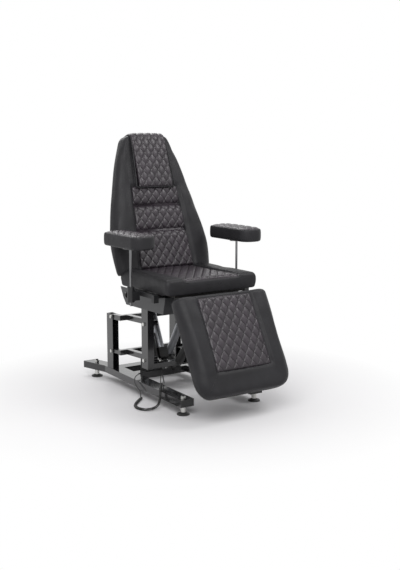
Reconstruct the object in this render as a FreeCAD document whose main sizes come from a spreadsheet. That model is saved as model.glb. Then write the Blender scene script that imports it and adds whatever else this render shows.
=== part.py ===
"""Tattoo chair: a lifting seat on two parallel links, a reclining back with a head pad,
a folding leg rest, two armrests on posts, three linear actuators and a corded handset.

Lengths are in millimetres. X runs to the sitter's left, Y to the rear, Z up from the floor.
The origin lies on the floor, midway between the front and rear ends.
"""
import FreeCAD
import Part
import Sketcher
import math
import os
import re
from FreeCAD import Placement, Rotation, Vector

os.makedirs("parts", exist_ok=True)
doc = FreeCAD.newDocument("tattoo_chair")

SIZES = {
    # Fits and cuts
    "pin_slack": 0.05,
    "soft_gap": 0.3,
    "side_play": 0.3,
    "overrun": 5,
    # Side rails
    "rail_wide": 80,
    "rail_tall": 40,
    "rail_wall": 3,
    "rail_lift": 48,
    "rail_front_x": 228,
    "rail_front_y": -403,
    "rail_knee_x": 200,
    "rail_knee_y": 485,
    "rail_rear_x": 250,
    "rail_rear_y": 664,
    "rail_cap_thick": 4,
    # Crossbeams
    "beam_deep": 50,
    "beam_front_y": 217,
    "rear_beam_deep": 70,
    # Feet
    "foot_pad_radius": 34,
    "foot_pad_rim": 6,
    "foot_pad_tall": 15,
    "foot_stud_radius": 8,
    "foot_sleeve_radius": 14,
    "foot_nut_flats": 24,
    "foot_nut_tall": 13,
    "foot_stud_above": 6,
    "foot_front_y": -375,
    "foot_rear_y": 592,
    "foot_out": 8,
    # Pillars and links
    "pillar_x": 220,
    "pillar_wide": 40,
    "pillar_wall": 4,
    "rear_pillar_ahead": 13,
    "rear_pillar_tall": 330,
    "rear_pivot_y": 396,
    "rear_pivot_z": 404,
    "pivot_spacing": 207,
    "link_long": 379.4,
    "link_rise": 2.72,
    "link_bar": 30,
    "lug_wide": 30,
    "lower_lug_tall": 20,
    "upper_lug_tall": 30,
    "cross_tube_back": 66,
    "arm_x": 175,
    "bolt_radius": 6,
    "bolt_head_flats": 19,
    "bolt_head_tall": 8,
    "spacer_radius": 12,
    # Carriage posts
    "post_ahead": 40,
    "post_deep": 68,
    "post_drop": 47,
    # Seat frame
    "seat_rise": 190,
    "seat_rail_wide": 30,
    "seat_rail_tall": 40,
    "seat_rail_ahead": 217,
    "seat_rail_behind": 223,
    "cross_bar_deep": 40,
    "rear_cross_behind": 133,
    "lift_bar_tall": 40,
    "lift_bar_above": 98,
    "lift_bar_ahead": 27,
    "lift_bar_deep": 40,
    "lower_bar_tall": 28,
    "lower_bar_ahead": 40,
    "lower_bar_deep": 34,
    "lower_bar_below": 252,
    # Skirt under the seat
    "skirt_thick": 3,
    "skirt_front_top": 232,
    "skirt_front_low": 207,
    "skirt_low_front": 94,
    "skirt_low_rear": 98,
    "skirt_rear_low": 192,
    "skirt_rear_mid": 223,
    "skirt_mid_drop": 63,
    "skirt_rear_top": 257,
    # Seat board and cushion
    "board_thick": 18,
    "board_half": 225,
    "board_ahead": 302,
    "board_behind": 178,
    "seat_half": 286,
    "seat_rear_half": 281,
    "seat_ahead": 333,
    "seat_behind": 186,
    "seat_bevel": 44,
    "seat_thick": 82,
    "seat_roll": 46,
    "seat_draw": 18,
    "seat_panel_half": 172,
    "seat_panel_dip": 8,
    # Back hinge and backrest, measured in the back's own leaning frame
    "back_hinge_behind": 203,
    "back_hinge_up": 38,
    "back_lean": 18.1,
    "back_face": 102.3,
    "back_foot": 29.7,
    "back_long": 796,
    "back_thick": 84,
    "back_board_thick": 15,
    "back_board_inset": 30,
    "back_half_foot": 288,
    "back_half_low": 302,
    "back_half_mid": 279,
    "back_half_high": 241,
    "back_half_top": 197,
    "back_half_end": 131,
    "back_roll": 44,
    "back_draw": 16,
    "back_panel_foot": 178,
    "back_panel_top": 135,
    "back_panel_dip": 9,
    "back_fold_low": 229,
    "back_fold_high": 379,
    "back_fold_wide": 10.5,
    "back_fold_deep": 10,
    "back_bar_wide": 25,
    "back_bar_x": 150,
    "back_bar_long": 560,
    "back_eye_radius": 14,
    "back_bracket_x": 180,
    "hinge_pin_radius": 8,
    "hinge_plate": 8,
    "back_lever_out": 69.6,
    "back_lever_up": 12.3,
    # Head pad
    "head_thick": 14,
    "head_half_top": 105,
    "head_half_low": 128,
    "head_long": 300,
    "head_tail": 90,
    "head_gap": 1,
    # Leg hinge and leg rest, measured in the leg rest's own leaning frame
    "leg_hinge_ahead": 326,
    "leg_hinge_down": 9,
    "leg_lean": 28.7,
    "leg_face": 109.1,
    "leg_head": 13,
    "leg_long": 540,
    "leg_thick": 86,
    "leg_board_thick": 16,
    "leg_board_inset": 34,
    "leg_half": 286,
    "leg_corner": 92,
    "leg_roll": 44,
    "leg_draw": 16,
    "leg_panel_half": 163,
    "leg_panel_dip": 8,
    "leg_bar_wide": 25,
    "leg_bar_x": 150,
    "leg_bar_long": 430,
    "leg_eye_radius": 12,
    "leg_bracket_x": 180,
    "leg_lever_out": 28.3,
    "leg_lever_down": 74.6,
    # Diamond quilting
    "quilt_pitch": 52,
    "quilt_wide": 3,
    "quilt_deep": 3,
    # Armrests
    "rest_x": 354,
    "rest_ahead": 57,
    "rest_post_radius": 6.5,
    "rest_post_down": 66,
    "rest_pad_up": 254,
    "rest_flange_radius": 40,
    "rest_flange_thick": 6,
    "rest_pad_half": 65,
    "rest_pad_ahead": 163,
    "rest_pad_behind": 190,
    "rest_pad_thick": 69,
    "rest_pad_roll": 20,
    "side_bar_x": 300,
    "side_bar_wide": 20,
    "side_bar_tall": 23,
    "side_bar_ahead": 220,
    "side_bar_behind": 3,
    "side_bar_drop": 10,
    "end_block_wide": 30,
    "end_block_deep": 24,
    "end_block_drop": 20,
    "rest_plate_thick": 8,
    "rest_plate_deep": 36,
    "clamp_deep": 42,
    "clamp_tall": 50,
    "collar_radius": 20,
    "collar_tall": 83,
    "collar_drop": 44,
    "knob_radius": 17,
    "knob_long": 22,
    "knob_stem_radius": 4,
    "knob_stem_bare": 18,
    "knob_drop": 10,
    # Linear actuators
    "eye_radius": 14,
    "eye_wide": 20,
    "lug_plate": 8,
    "gear_start": 15,
    "gear_long": 60,
    "gear_wide": 56,
    "gear_deep": 54,
    "tube_radius": 22.5,
    "tube_wall": 3.5,
    "rod_radius": 8,
    "motor_radius": 29,
    "motor_long": 92,
    "motor_ring": 4,
    "lift_x": 50,
    "lift_foot_y": 255,
    "lift_foot_z": 125,
    "lift_head_behind": 3,
    "lift_head_up": 78,
    "lift_tube_top": 350,
    "lift_rod_long": 275,
    "back_x": -75,
    "back_foot_behind": 65,
    "back_foot_down": 242,
    "back_tube_top": 400,
    "back_rod_long": 190,
    "leg_x": 0,
    "leg_foot_ahead": 62,
    "leg_foot_down": 232,
    "leg_tube_top": 400,
    "leg_rod_long": 190,
    # Control box
    "box_x": -27,
    "box_wide": 70,
    "box_y": 222,
    "box_deep": 40,
    "box_tall": 112,
    "box_round": 6,
    "gland_radius": 5,
    "gland_long": 9,
    "gland_up": 16,
    "gland_lead": 17,
    # Handset
    "hand_x": -100,
    "hand_y": 229,
    "hand_wide": 52,
    "hand_deep": 24,
    "hand_tall": 128,
    "hand_round": 7,
    "hand_lift": 3,
    "cup_wall": 2.5,
    "cup_tall": 34,
    "key_wide": 24,
    "key_tall": 18,
    "key_thick": 4.5,
    "key_play": 0.8,
    "key_sunk": 2.8,
    "key_pin": 1.2,
    "key_pin_in": 1.5,
    "key_first": 50,
    "key_pitch": 24,
    # Handset cord
    "wire_radius": 2.5,
    "curl_radius": 5.5,
    "curl_pitch": 7.3,
    # Hook for the hand switch under the seat
    "hook_radius": 3,
    "hook_drop": 40,
    "hook_reach": 22,
}
QUILT_TURN_SHARE = 1.38
QUILT_STEPS = 200
RIM_SHARE = 0.25
RIM_UP_SHARE = 0.85
WAIST_SHARE = 0.45
CROWN_SHARE = 0.2
BULGE_SHARE = 0.085
SHORT_CUT_SHARE = 0.05
SEAM_SHARE = 1.3
TRIM_SHARE = 0.45

sheet = doc.addObject("Spreadsheet::Sheet", "sizes")
for row, (alias, number) in enumerate(SIZES.items(), start=1):
    sheet.set(f"A{row}", alias)
    sheet.set(f"B{row}", str(number))
    sheet.setAlias(f"B{row}", alias)
doc.recompute()

WORD = re.compile(r"[a-z][a-z_]*")
TURNS = {"X": Rotation(Vector(0, 1, 0), 90), "Y": Rotation(Vector(1, 0, 0), -90), "Z": Rotation()}
SIDES = {"left": 1, "right": -1}
nodes = []


def size(alias):
    """One number of the sheet."""
    return float(sheet.get(alias))


def bound(formula):
    """A formula with the sheet's name in front of each of its sizes."""
    return WORD.sub(lambda word: f"sizes.{word.group()}" if word.group() in SIZES else word.group(),
                    formula)


def bind(thing, **formulas):
    """Tie an object's properties to formulas of sizes."""
    for prop, formula in formulas.items():
        thing.setExpression(prop, bound(formula))


def place(thing, x="0", y="0", z="0"):
    """Tie an object's place to formulas of sizes."""
    thing.setExpression("Placement.Base.x", bound(x))
    thing.setExpression("Placement.Base.y", bound(y))
    thing.setExpression("Placement.Base.z", bound(z))


def tilt(thing, angle):
    """Tie an object's turn about X to a formula of sizes."""
    thing.Placement = Placement(thing.Placement.Base, Rotation(Vector(1, 0, 0), 1))
    thing.setExpression("Placement.Rotation.Angle", bound(angle))


def node(label, thing):
    """Name a finished sub-part and keep it for export."""
    thing.Label = label
    nodes.append(thing)
    return thing


def block(name, x, y, z, wide, deep, tall):
    """A box centred on x that starts at y and z."""
    solid = doc.addObject("Part::Box", name)
    bind(solid, Length=wide, Width=deep, Height=tall)
    place(solid, f"({x}) - ({wide}) / 2", y, z)
    return solid


def rod(name, axis, x, y, z, radius, length):
    """A round bar that starts at a point and runs along an axis."""
    solid = doc.addObject("Part::Cylinder", name)
    bind(solid, Radius=radius, Height=length)
    solid.Placement = Placement(Vector(), TURNS[axis])
    place(solid, x, y, z)
    return solid


def pin(name, x, y, z, radius, length):
    """A round bar along X centred on a point."""
    return rod(name, "X", f"({x}) - ({length}) / 2", y, z, radius, length)


def hexagon(name, axis, x, y, z, flats, tall):
    """A hexagon head or nut that starts at a point and runs along an axis."""
    solid = doc.addObject("Part::Prism", name)
    solid.Polygon = 6
    bind(solid, Circumradius=f"({flats}) / 2 / cos(30)", Height=tall)
    solid.Placement = Placement(Vector(), TURNS[axis])
    place(solid, x, y, z)
    return solid


def join(name, *pieces):
    """One solid made of welded pieces."""
    solid = doc.addObject("Part::MultiFuse", name)
    solid.Shapes = list(pieces)
    solid.Refine = True
    return solid


def group(name, *pieces):
    """Separate solids that share a node."""
    solid = doc.addObject("Part::Compound", name)
    solid.Links = list(pieces)
    return solid


def cut(name, base, *tools):
    """A piece with holes or hollows taken out of it."""
    solid = doc.addObject("Part::Cut", name)
    solid.Base = base
    solid.Tool = tools[0] if len(tools) == 1 else join(f"{name}_tools", *tools)
    return solid


def tube_along(name, axis, x, y, z, wide, deep, tall, wall):
    """A rectangular tube whose ends are open along one axis."""
    thinned = [f"({length}) - 2 * {wall}" for length in (wide, deep, tall)]
    starts = [f"({y}) + {wall}", f"({z}) + {wall}"]
    if axis == "X":
        thinned[0] = f"({wide}) + 2 * overrun"
    if axis == "Y":
        thinned[1] = f"({deep}) + 2 * overrun"
        starts[0] = f"({y}) - overrun"
    if axis == "Z":
        thinned[2] = f"({tall}) + 2 * overrun"
        starts[1] = f"({z}) - overrun"
    outer = block(f"{name}_outside", x, y, z, wide, deep, tall)
    hollow = block(f"{name}_hollow", x, *starts, *thinned)
    return cut(name, outer, hollow)


def sketch_on(body, name, role, points):
    """A closed outline on one of a body's own planes, each corner tied to formulas."""
    plane = next(f for f in body.Origin.OriginFeatures if f.Role == role)
    sketch = body.newObject("Sketcher::SketchObject", name)
    sketch.AttachmentSupport = (plane, "")
    sketch.MapMode = "FlatFace"
    count = len(points)
    angles = [2 * math.pi * i / count for i in range(count)]
    corners = [Vector(math.cos(a), math.sin(a), 0) for a in angles]
    for i in range(count):
        sketch.addGeometry(Part.LineSegment(corners[i], corners[(i + 1) % count]), False)
    for i in range(count):
        sketch.addConstraint(Sketcher.Constraint("Coincident", i, 2, (i + 1) % count, 1))
    for i, (across, along) in enumerate(points):
        for kind, formula in (("DistanceX", across), ("DistanceY", along)):
            index = sketch.addConstraint(Sketcher.Constraint(kind, -1, 1, i, 1, 1.0))
            sketch.setExpression(f"Constraints[{index}]", bound(formula))
    return sketch


def new_body(name):
    """An empty body."""
    return doc.addObject("PartDesign::Body", name)


def padded(body, name, role, points, length):
    """Pad an outline to both sides of its plane."""
    pad = body.newObject("PartDesign::Pad", name)
    pad.Profile = sketch_on(body, f"{name}_outline", role, points)
    pad.Midplane = True
    bind(pad, Length=length)
    doc.recompute()
    return pad


def pocketed(body, name, role, points, length):
    """Cut an outline out to both sides of its plane."""
    before = body.Shape.Volume
    pocket = body.newObject("PartDesign::Pocket", name)
    pocket.Profile = sketch_on(body, f"{name}_outline", role, points)
    pocket.Midplane = True
    bind(pocket, Length=length)
    doc.recompute()
    if body.Shape.Volume >= before:
        raise ValueError(f"{name} cuts nothing")
    return pocket


def turned(body, name, points):
    """Turn an outline of radii and heights about the body's Z axis."""
    sketch = sketch_on(body, f"{name}_outline", "XZ_Plane", points)
    turn = body.newObject("PartDesign::Revolution", name)
    turn.Profile = sketch
    turn.ReferenceAxis = (sketch, ["V_Axis"])
    turn.Angle = 360
    doc.recompute()
    return turn


def edges_along(shape, axis):
    """Names of the straight edges parallel to an axis."""
    names = []
    for index, edge in enumerate(shape.Edges, start=1):
        if isinstance(edge.Curve, Part.Line):
            run = edge.Vertexes[-1].Point - edge.Vertexes[0].Point
            if run.normalize().cross(axis).Length < 0.001:
                names.append(f"Edge{index}")
    return names


def rounded(body, name, base, axis, radius):
    """Round the edges of a body that run along one axis."""
    fillet = body.newObject("PartDesign::Fillet", name)
    fillet.Base = (base, edges_along(base.Shape, axis))
    bind(fillet, Radius=radius)
    doc.recompute()
    return fillet


# Places that several pieces share
FRONT_Y = "(rear_pivot_y - link_long * cos(link_rise))"
FRONT_Z = "(rear_pivot_z + link_long * sin(link_rise))"
BOARD_Z = f"({FRONT_Z} + seat_rise)"
SEAT_Z = f"({BOARD_Z} + board_thick + soft_gap)"
BEAM_Z = "(rail_lift + rail_tall)"
REAR_PILLAR_Y = "(rear_pivot_y - rear_pillar_ahead)"
BACK_Y = f"({FRONT_Y} + back_hinge_behind)"
BACK_Z = f"({BOARD_Z} + back_hinge_up)"
LEG_Y = f"({FRONT_Y} - leg_hinge_ahead)"
LEG_Z = f"({BOARD_Z} - leg_hinge_down)"
POST_INNER = "(pillar_x - pillar_wide / 2)"
POST_OUTER = "(pillar_x + pillar_wide / 2)"
REST_Y = f"({FRONT_Y} - rest_ahead)"
REST_PAD_Z = f"({BOARD_Z} + rest_pad_up)"


def rail_x(y):
    """The rail's centreline ahead of its knee."""
    share = f"(({y}) - rail_front_y) / (rail_knee_y - rail_front_y)"
    return f"(rail_front_x + (rail_knee_x - rail_front_x) * {share})"


def rail_tail_x(y):
    """The rail's centreline behind its knee."""
    share = f"(({y}) - rail_knee_y) / (rail_rear_y - rail_knee_y)"
    return f"(rail_knee_x + (rail_rear_x - rail_knee_x) * {share})"


FEET = {
    "front_left": (f"({rail_x('foot_front_y')} + foot_out)", "foot_front_y"),
    "front_right": (f"-({rail_x('foot_front_y')} + foot_out)", "foot_front_y"),
    "rear_left": (f"({rail_tail_x('foot_rear_y')} + foot_out)", "foot_rear_y"),
    "rear_right": (f"-({rail_tail_x('foot_rear_y')} + foot_out)", "foot_rear_y"),
}


# Base frame

def side_rails():
    """Two rectangular tubes, splayed behind the knee, bored for the foot studs."""
    tubes = []
    for side, sign in SIDES.items():
        stations = [("rail_front_x", "rail_front_y"), ("rail_knee_x", "rail_knee_y"),
                    ("rail_rear_x", "rail_rear_y")]
        body = new_body(f"rail_{side}")
        outer = [(f"{sign} * ({x} + rail_wide / 2)", y) for x, y in stations]
        inner = [(f"{sign} * ({x} - rail_wide / 2)", y) for x, y in reversed(stations)]
        padded(body, "tube", "XY_Plane", outer + inner, "rail_tall")
        reach = [("rail_front_x", "rail_front_y - overrun"), ("rail_knee_x", "rail_knee_y"),
                 (rail_tail_x("rail_rear_y + overrun"), "rail_rear_y + overrun")]
        wide = [(f"{sign} * ({x} + rail_wide / 2 - rail_wall)", y) for x, y in reach]
        back = [(f"{sign} * ({x} - rail_wide / 2 + rail_wall)", y) for x, y in reversed(reach)]
        pocketed(body, "hollow", "XY_Plane", wide + back, "rail_tall - 2 * rail_wall")
        place(body, z="rail_lift + rail_tall / 2")
        bores = []
        for corner, (x, y) in FEET.items():
            if corner.endswith(side):
                bore = rod(f"stud_bore_{corner}", "Z", x, y, "rail_lift - overrun",
                           "foot_stud_radius + pin_slack", "rail_tall + 2 * overrun")
                bores.append(bore)
        tubes.append(cut(f"bored_rail_{side}", body, *bores))
    node("side_rails", group("rails", *tubes))


def crossbeam(label, front, deep):
    """A tube welded between the rails, its ends cut to their slant."""
    body = new_body(label)
    rear = f"{front} + {deep}"
    ends = [(rail_x(front), front), (rail_x(rear), rear)]
    right = [(f"-({x} - rail_wide / 2)", y) for x, y in ends]
    left = [(f"{x} - rail_wide / 2", y) for x, y in reversed(ends)]
    padded(body, "tube", "XY_Plane", right + left, "rail_tall")
    low = f"{front} + rail_wall"
    high = f"{rear} - rail_wall"
    reach = "pillar_x"
    hollow = [(f"-{reach}", low), (reach, low), (reach, high), (f"-{reach}", high)]
    pocketed(body, "hollow", "XY_Plane", hollow, "rail_tall - 2 * rail_wall")
    place(body, z="rail_lift + rail_tall / 2")
    node(label, body)


def rail_caps():
    """Four plastic caps over the open rail ends."""
    caps = []
    for sign in SIDES.values():
        front = block("cap", f"{sign} * rail_front_x", "rail_front_y - rail_cap_thick", "rail_lift",
                      "rail_wide", "rail_cap_thick", "rail_tall")
        rear = block("cap", f"{sign} * rail_rear_x", "rail_rear_y", "rail_lift",
                     "rail_wide", "rail_cap_thick", "rail_tall")
        caps += [front, rear]
    node("rail_end_caps", group("caps", *caps))


def feet():
    """Levelling feet: a round pad with a threaded stud, a sleeve and a lock nut."""
    sleeves = []
    for corner, (x, y) in FEET.items():
        body = new_body(f"foot_{corner}")
        stud_top = "rail_lift + rail_tall + foot_nut_tall + foot_stud_above"
        turned(body, "pad_and_stud", [
            ("0", "0"), ("foot_pad_radius", "0"), ("foot_pad_radius", "foot_pad_rim"),
            ("foot_sleeve_radius", "foot_pad_tall"), ("foot_stud_radius", "foot_pad_tall"),
            ("foot_stud_radius", stud_top), ("0", stud_top)])
        place(body, x, y)
        node(f"foot_{corner}", body)
        low = "foot_pad_tall + side_play"
        sleeve = rod("sleeve", "Z", x, y, low, "foot_sleeve_radius", f"rail_lift - ({low})")
        nut = hexagon("lock_nut", "Z", x, y, BEAM_Z, "foot_nut_flats", "foot_nut_tall")
        bore = rod("bore", "Z", x, y, "0", "foot_stud_radius + pin_slack",
                   f"{BEAM_Z} + foot_nut_tall + overrun")
        sleeves += [cut("bored_sleeve", sleeve, bore), cut("bored_nut", nut, bore)]
    node("foot_sleeves_and_nuts", group("sleeves", *sleeves))


def rear_pillars():
    """Two upright channels, open to the front, that carry the links' rear pivots."""
    pillars = []
    rear = f"({REAR_PILLAR_Y} + rear_beam_deep)"
    for side, sign in SIDES.items():
        inner = "(pillar_wide / 2 - pillar_wall)"
        web = f"({rear} - pillar_wall)"
        body = new_body(f"pillar_{side}")
        padded(body, "channel", "XY_Plane", [
            ("-pillar_wide / 2", REAR_PILLAR_Y), (f"-{inner}", REAR_PILLAR_Y), (f"-{inner}", web),
            (inner, web), (inner, REAR_PILLAR_Y), ("pillar_wide / 2", REAR_PILLAR_Y),
            ("pillar_wide / 2", rear), ("-pillar_wide / 2", rear)], "rear_pillar_tall")
        place(body, f"{sign} * pillar_x", z=f"{BEAM_Z} + rear_pillar_tall / 2")
        bores = []
        for drop in ("0", "pivot_spacing"):
            bores.append(pin("bore", f"{sign} * pillar_x", "rear_pivot_y", f"rear_pivot_z - {drop}",
                             "bolt_radius + pin_slack", "pillar_wide + 2 * overrun"))
        pillars.append(cut(f"bored_pillar_{side}", body, *bores))
    node("rear_posts", group("pillars", *pillars))


def bolt(sign, y, z, inner, outer):
    """A hexagon bolt along X with its head outside and its nut inside."""
    grip = f"({outer}) - ({inner}) + 2 * bolt_head_tall"
    start = f"({inner}) - bolt_head_tall"
    shank_start = start if sign > 0 else f"-(({outer}) + bolt_head_tall)"
    head_start = outer if sign > 0 else f"-(({outer}) + bolt_head_tall)"
    nut_start = start if sign > 0 else f"-({inner})"
    shank = rod("shank", "X", shank_start, y, z, "bolt_radius", grip)
    head = hexagon("head", "X", head_start, y, z, "bolt_head_flats", "bolt_head_tall")
    nut = hexagon("nut", "X", nut_start, y, z, "bolt_head_flats", "bolt_head_tall")
    return join("bolt", shank, head, nut)


def pivot_bolts():
    """The eight bolts on which the links turn."""
    rear = []
    front = []
    for sign in SIDES.values():
        for drop in ("0", "pivot_spacing"):
            rear.append(bolt(sign, "rear_pivot_y", f"rear_pivot_z - {drop}", POST_INNER, POST_OUTER))
            front.append(bolt(sign, FRONT_Y, f"{FRONT_Z} - {drop}", "arm_x - link_bar / 2", POST_OUTER))
    node("rear_pivot_bolts", group("rear_bolts", *rear))
    node("front_pivot_bolts", group("front_bolts", *front))


# Links

def link(label, drop, lug_tall):
    """Rear lugs, a cross tube and two arms to the carriage, welded end to end."""
    pieces = [block("cross_tube", "0", "-cross_tube_back - link_bar", "-link_bar / 2",
                    "2 * pillar_x + lug_wide", "link_bar", "link_bar")]
    for sign in SIDES.values():
        x = f"{sign} * pillar_x"
        lug = block("lug", x, "-cross_tube_back", f"-{lug_tall} / 2", "lug_wide", "cross_tube_back",
                    lug_tall)
        eye = pin("lug_eye", x, "0", "0", f"{lug_tall} / 2", "lug_wide")
        bore = pin("rear_bore", x, "0", "0", "bolt_radius + pin_slack", "lug_wide + 2 * overrun")
        pieces.append(cut("bored_lug", join("lug_and_eye", lug, eye), bore))
        arm_x = f"{sign} * arm_x"
        arm = block("arm", arm_x, "-link_long", "-link_bar / 2", "link_bar",
                    "link_long - cross_tube_back - link_bar", "link_bar")
        eye = pin("arm_eye", arm_x, "-link_long", "0", "link_bar / 2", "link_bar")
        gap = f"({POST_INNER} - arm_x - link_bar / 2 - side_play)"
        boss = pin("spacer", f"{sign} * (arm_x + link_bar / 2 + {gap} / 2)", "-link_long", "0",
                   "spacer_radius", gap)
        bore = pin("front_bore", arm_x, "-link_long", "0", "bolt_radius + pin_slack",
                   "link_bar + 2 * pillar_wide")
        pieces.append(cut("bored_arm", join("arm_and_eye", arm, eye, boss), bore))
    frame = group(label, *pieces)
    tilt(frame, "-link_rise")
    place(frame, "0", "rear_pivot_y", f"rear_pivot_z - {drop}")
    node(label, frame)


# Carriage

def carriage_posts():
    """Two upright tubes between the link arms and the skirt."""
    posts = []
    low = f"({FRONT_Z} - pivot_spacing - post_drop)"
    tall = f"({BOARD_Z} - rest_plate_thick - {low})"
    for sign in SIDES.values():
        x = f"{sign} * pillar_x"
        tube = tube_along("post", "Z", x, f"{FRONT_Y} - post_ahead", low, "pillar_wide", "post_deep", tall,
                          "pillar_wall")
        bores = []
        for drop in ("0", "pivot_spacing"):
            bores.append(pin("bore", x, FRONT_Y, f"{FRONT_Z} - {drop}", "bolt_radius + pin_slack",
                             "pillar_wide + 2 * overrun"))
        posts.append(cut("bored_post", tube, *bores))
    node("carriage_posts", group("posts", *posts))


def lug_pair(x, y, z, root_y, root_z, deep, tall):
    """Two plates with an eye at a pin, rooted on the bar that carries them."""
    plates = []
    offset = "(eye_wide / 2 + side_play + lug_plate / 2)"
    for sign in ("+", "-"):
        centre = f"{x} {sign} {offset}"
        plates.append(block("plate", centre, root_y, root_z, "lug_plate", deep, tall))
        plates.append(pin("plate_eye", centre, y, z, "eye_radius", "lug_plate"))
    return plates


def lug_bore(x, y, z):
    """The hole through a pair of lugs."""
    return pin("lug_bore", x, y, z, "bolt_radius + pin_slack", "eye_wide + 4 * lug_plate")


def lug_pin(x, y, z):
    """The headed pin through a pair of lugs."""
    grip = "(eye_wide + 2 * side_play + 2 * lug_plate)"
    shank = pin("pin_shank", x, y, z, "bolt_radius", f"{grip} + 2 * pillar_wall")
    head = rod("pin_head", "X", f"{x} + {grip} / 2", y, z, "bolt_radius + pillar_wall / 2", "pillar_wall")
    clip = rod("pin_clip", "X", f"{x} - {grip} / 2 - pillar_wall", y, z, "bolt_radius + pillar_wall / 2",
               "pillar_wall")
    return join("pin", shank, head, clip)


LIFT_HEAD = ("lift_x", f"({FRONT_Y} + lift_head_behind)", f"({FRONT_Z} + lift_head_up)")
LIFT_FOOT = ("lift_x", "lift_foot_y", "lift_foot_z")
BACK_FOOT = ("back_x", f"({FRONT_Y} + back_foot_behind)", f"({FRONT_Z} - back_foot_down)")
LEG_FOOT = ("leg_x", f"({FRONT_Y} - leg_foot_ahead)", f"({FRONT_Z} - leg_foot_down)")


def carriage_bars():
    """The lift bar and the lower bar between the posts, with the actuators' lugs."""
    span = "(2 * pillar_x - pillar_wide)"
    z = f"({FRONT_Z} + lift_bar_above)"
    y = f"({FRONT_Y} - lift_bar_ahead)"
    x, head_y, head_z = LIFT_HEAD
    bar = block("bar", "0", y, z, span, "lift_bar_deep", "lift_bar_tall")
    lugs = lug_pair(x, head_y, head_z, f"{head_y} - eye_radius", head_z, "2 * eye_radius",
                    f"{z} - {head_z}")
    node("lift_bar", cut("lift_bar", join("lift_bar_welded", bar, *lugs), lug_bore(*LIFT_HEAD)))
    low = f"({FRONT_Z} - lower_bar_below)"
    front = f"({FRONT_Y} - lower_bar_ahead)"
    rear = f"({front} + lower_bar_deep)"
    bar = block("bar", "0", front, low, span, "lower_bar_deep", "lower_bar_tall")
    x, foot_y, foot_z = BACK_FOOT
    lugs = lug_pair(x, foot_y, foot_z, rear, f"{foot_z} - eye_radius / 2", f"{foot_y} - {rear}",
                    "eye_radius")
    x, foot_y, foot_z = LEG_FOOT
    lugs += lug_pair(x, foot_y, foot_z, foot_y, f"{foot_z} - eye_radius / 2", f"{front} - {foot_y}",
                     "eye_radius")
    welded = join("lower_bar_welded", bar, *lugs)
    node("actuator_bar", cut("actuator_bar", welded, lug_bore(*BACK_FOOT), lug_bore(*LEG_FOOT)))
    node("actuator_pins", group("pins", lug_pin(*LIFT_HEAD), lug_pin(*BACK_FOOT), lug_pin(*LEG_FOOT)))


RAIL_Z = f"({BOARD_Z} - seat_rail_tall)"
RAIL_X = f"({POST_INNER} - seat_rail_wide / 2)"


def seat_frame():
    """Two rails and two crossbars of tube under the seat board."""
    front = f"({FRONT_Y} - seat_rail_ahead)"
    long = "(seat_rail_ahead + seat_rail_behind)"
    pieces = []
    for sign in SIDES.values():
        pieces.append(block("rail", f"{sign} * {RAIL_X}", front, RAIL_Z, "seat_rail_wide", long,
                            "seat_rail_tall"))
    span = f"2 * ({RAIL_X} - seat_rail_wide / 2)"
    for y in (front, f"{FRONT_Y} + rear_cross_behind"):
        pieces.append(block("crossbar", "0", y, RAIL_Z, span, "cross_bar_deep", "seat_rail_tall"))
    node("seat_frame", group("seat_frame", *pieces))


def skirt():
    """Sheets at both sides and at the front of the seat frame, slotted for the leg rest's brackets."""
    top = f"({BOARD_Z} - rest_plate_thick)"
    front_top = f"{FRONT_Y} - skirt_front_top"
    front_low = f"{FRONT_Y} - skirt_front_low"
    low = f"{top} - skirt_low_front"
    outline = [(front_low, low),
               (f"{FRONT_Y} + skirt_rear_low", f"{top} - skirt_low_rear"),
               (f"{FRONT_Y} + skirt_rear_mid", f"{top} - skirt_mid_drop"),
               (f"{FRONT_Y} + skirt_rear_top", top),
               (front_top, top)]
    sheets = []
    for side, sign in SIDES.items():
        body = new_body(f"skirt_{side}")
        padded(body, "sheet", "YZ_Plane", outline, "skirt_thick")
        place(body, f"{sign} * ({POST_OUTER} + skirt_thick / 2)")
        sheets.append(body)
    body = new_body("skirt_front")
    padded(body, "sheet", "YZ_Plane", [(front_low, low), (f"{front_low} + skirt_thick", low),
                                       (f"{front_top} + skirt_thick", top), (front_top, top)],
                                       f"2 * {POST_OUTER}")
    slots = []
    for sign in SIDES.values():
        slots.append(block("slot", f"{sign} * leg_bracket_x", f"{front_top} - overrun",
                           f"{LEG_Z} - leg_eye_radius - side_play", "hinge_plate + 2 * side_play",
                           "skirt_front_top - skirt_front_low + 2 * overrun",
                           "2 * leg_eye_radius + 2 * side_play"))
    sheets.append(cut("slotted_front", body, *slots))
    node("seat_skirt", group("skirt", *sheets))


def hinge_brackets(label, x, y, z, radius, root_y, deep, root_z):
    """Two plates with fixed pins that rise from the seat rails to a hinge."""
    brackets = []
    for sign in SIDES.values():
        centre = f"{sign} * {x}"
        plate = block("plate", centre, root_y, root_z, "hinge_plate", deep, f"{z} - ({root_z})")
        eye = pin("eye", centre, y, z, radius, "hinge_plate")
        reach = "(hinge_plate + 2 * side_play)"
        stub_start = f"{x} - hinge_plate / 2 - {reach}" if sign > 0 else f"-{x} + hinge_plate / 2"
        stub = rod("stub", "X", stub_start, y, z, "hinge_pin_radius", reach)
        brackets.append(join("bracket", plate, eye, stub))
    node(label, group(label, *brackets))


def seat_board():
    """The plywood under the seat cushion."""
    solid = block("seat_board", "0", f"{FRONT_Y} - board_ahead", BOARD_Z, "2 * board_half",
                  "board_ahead + board_behind", "board_thick")
    node("seat_board", solid)


# Soft forms

FRONT_Y_NOW = size("rear_pivot_y") - size("link_long") * math.cos(math.radians(size("link_rise")))
FRONT_Z_NOW = size("rear_pivot_z") + size("link_long") * math.sin(math.radians(size("link_rise")))
BOARD_Z_NOW = FRONT_Z_NOW + size("seat_rise")


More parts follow.
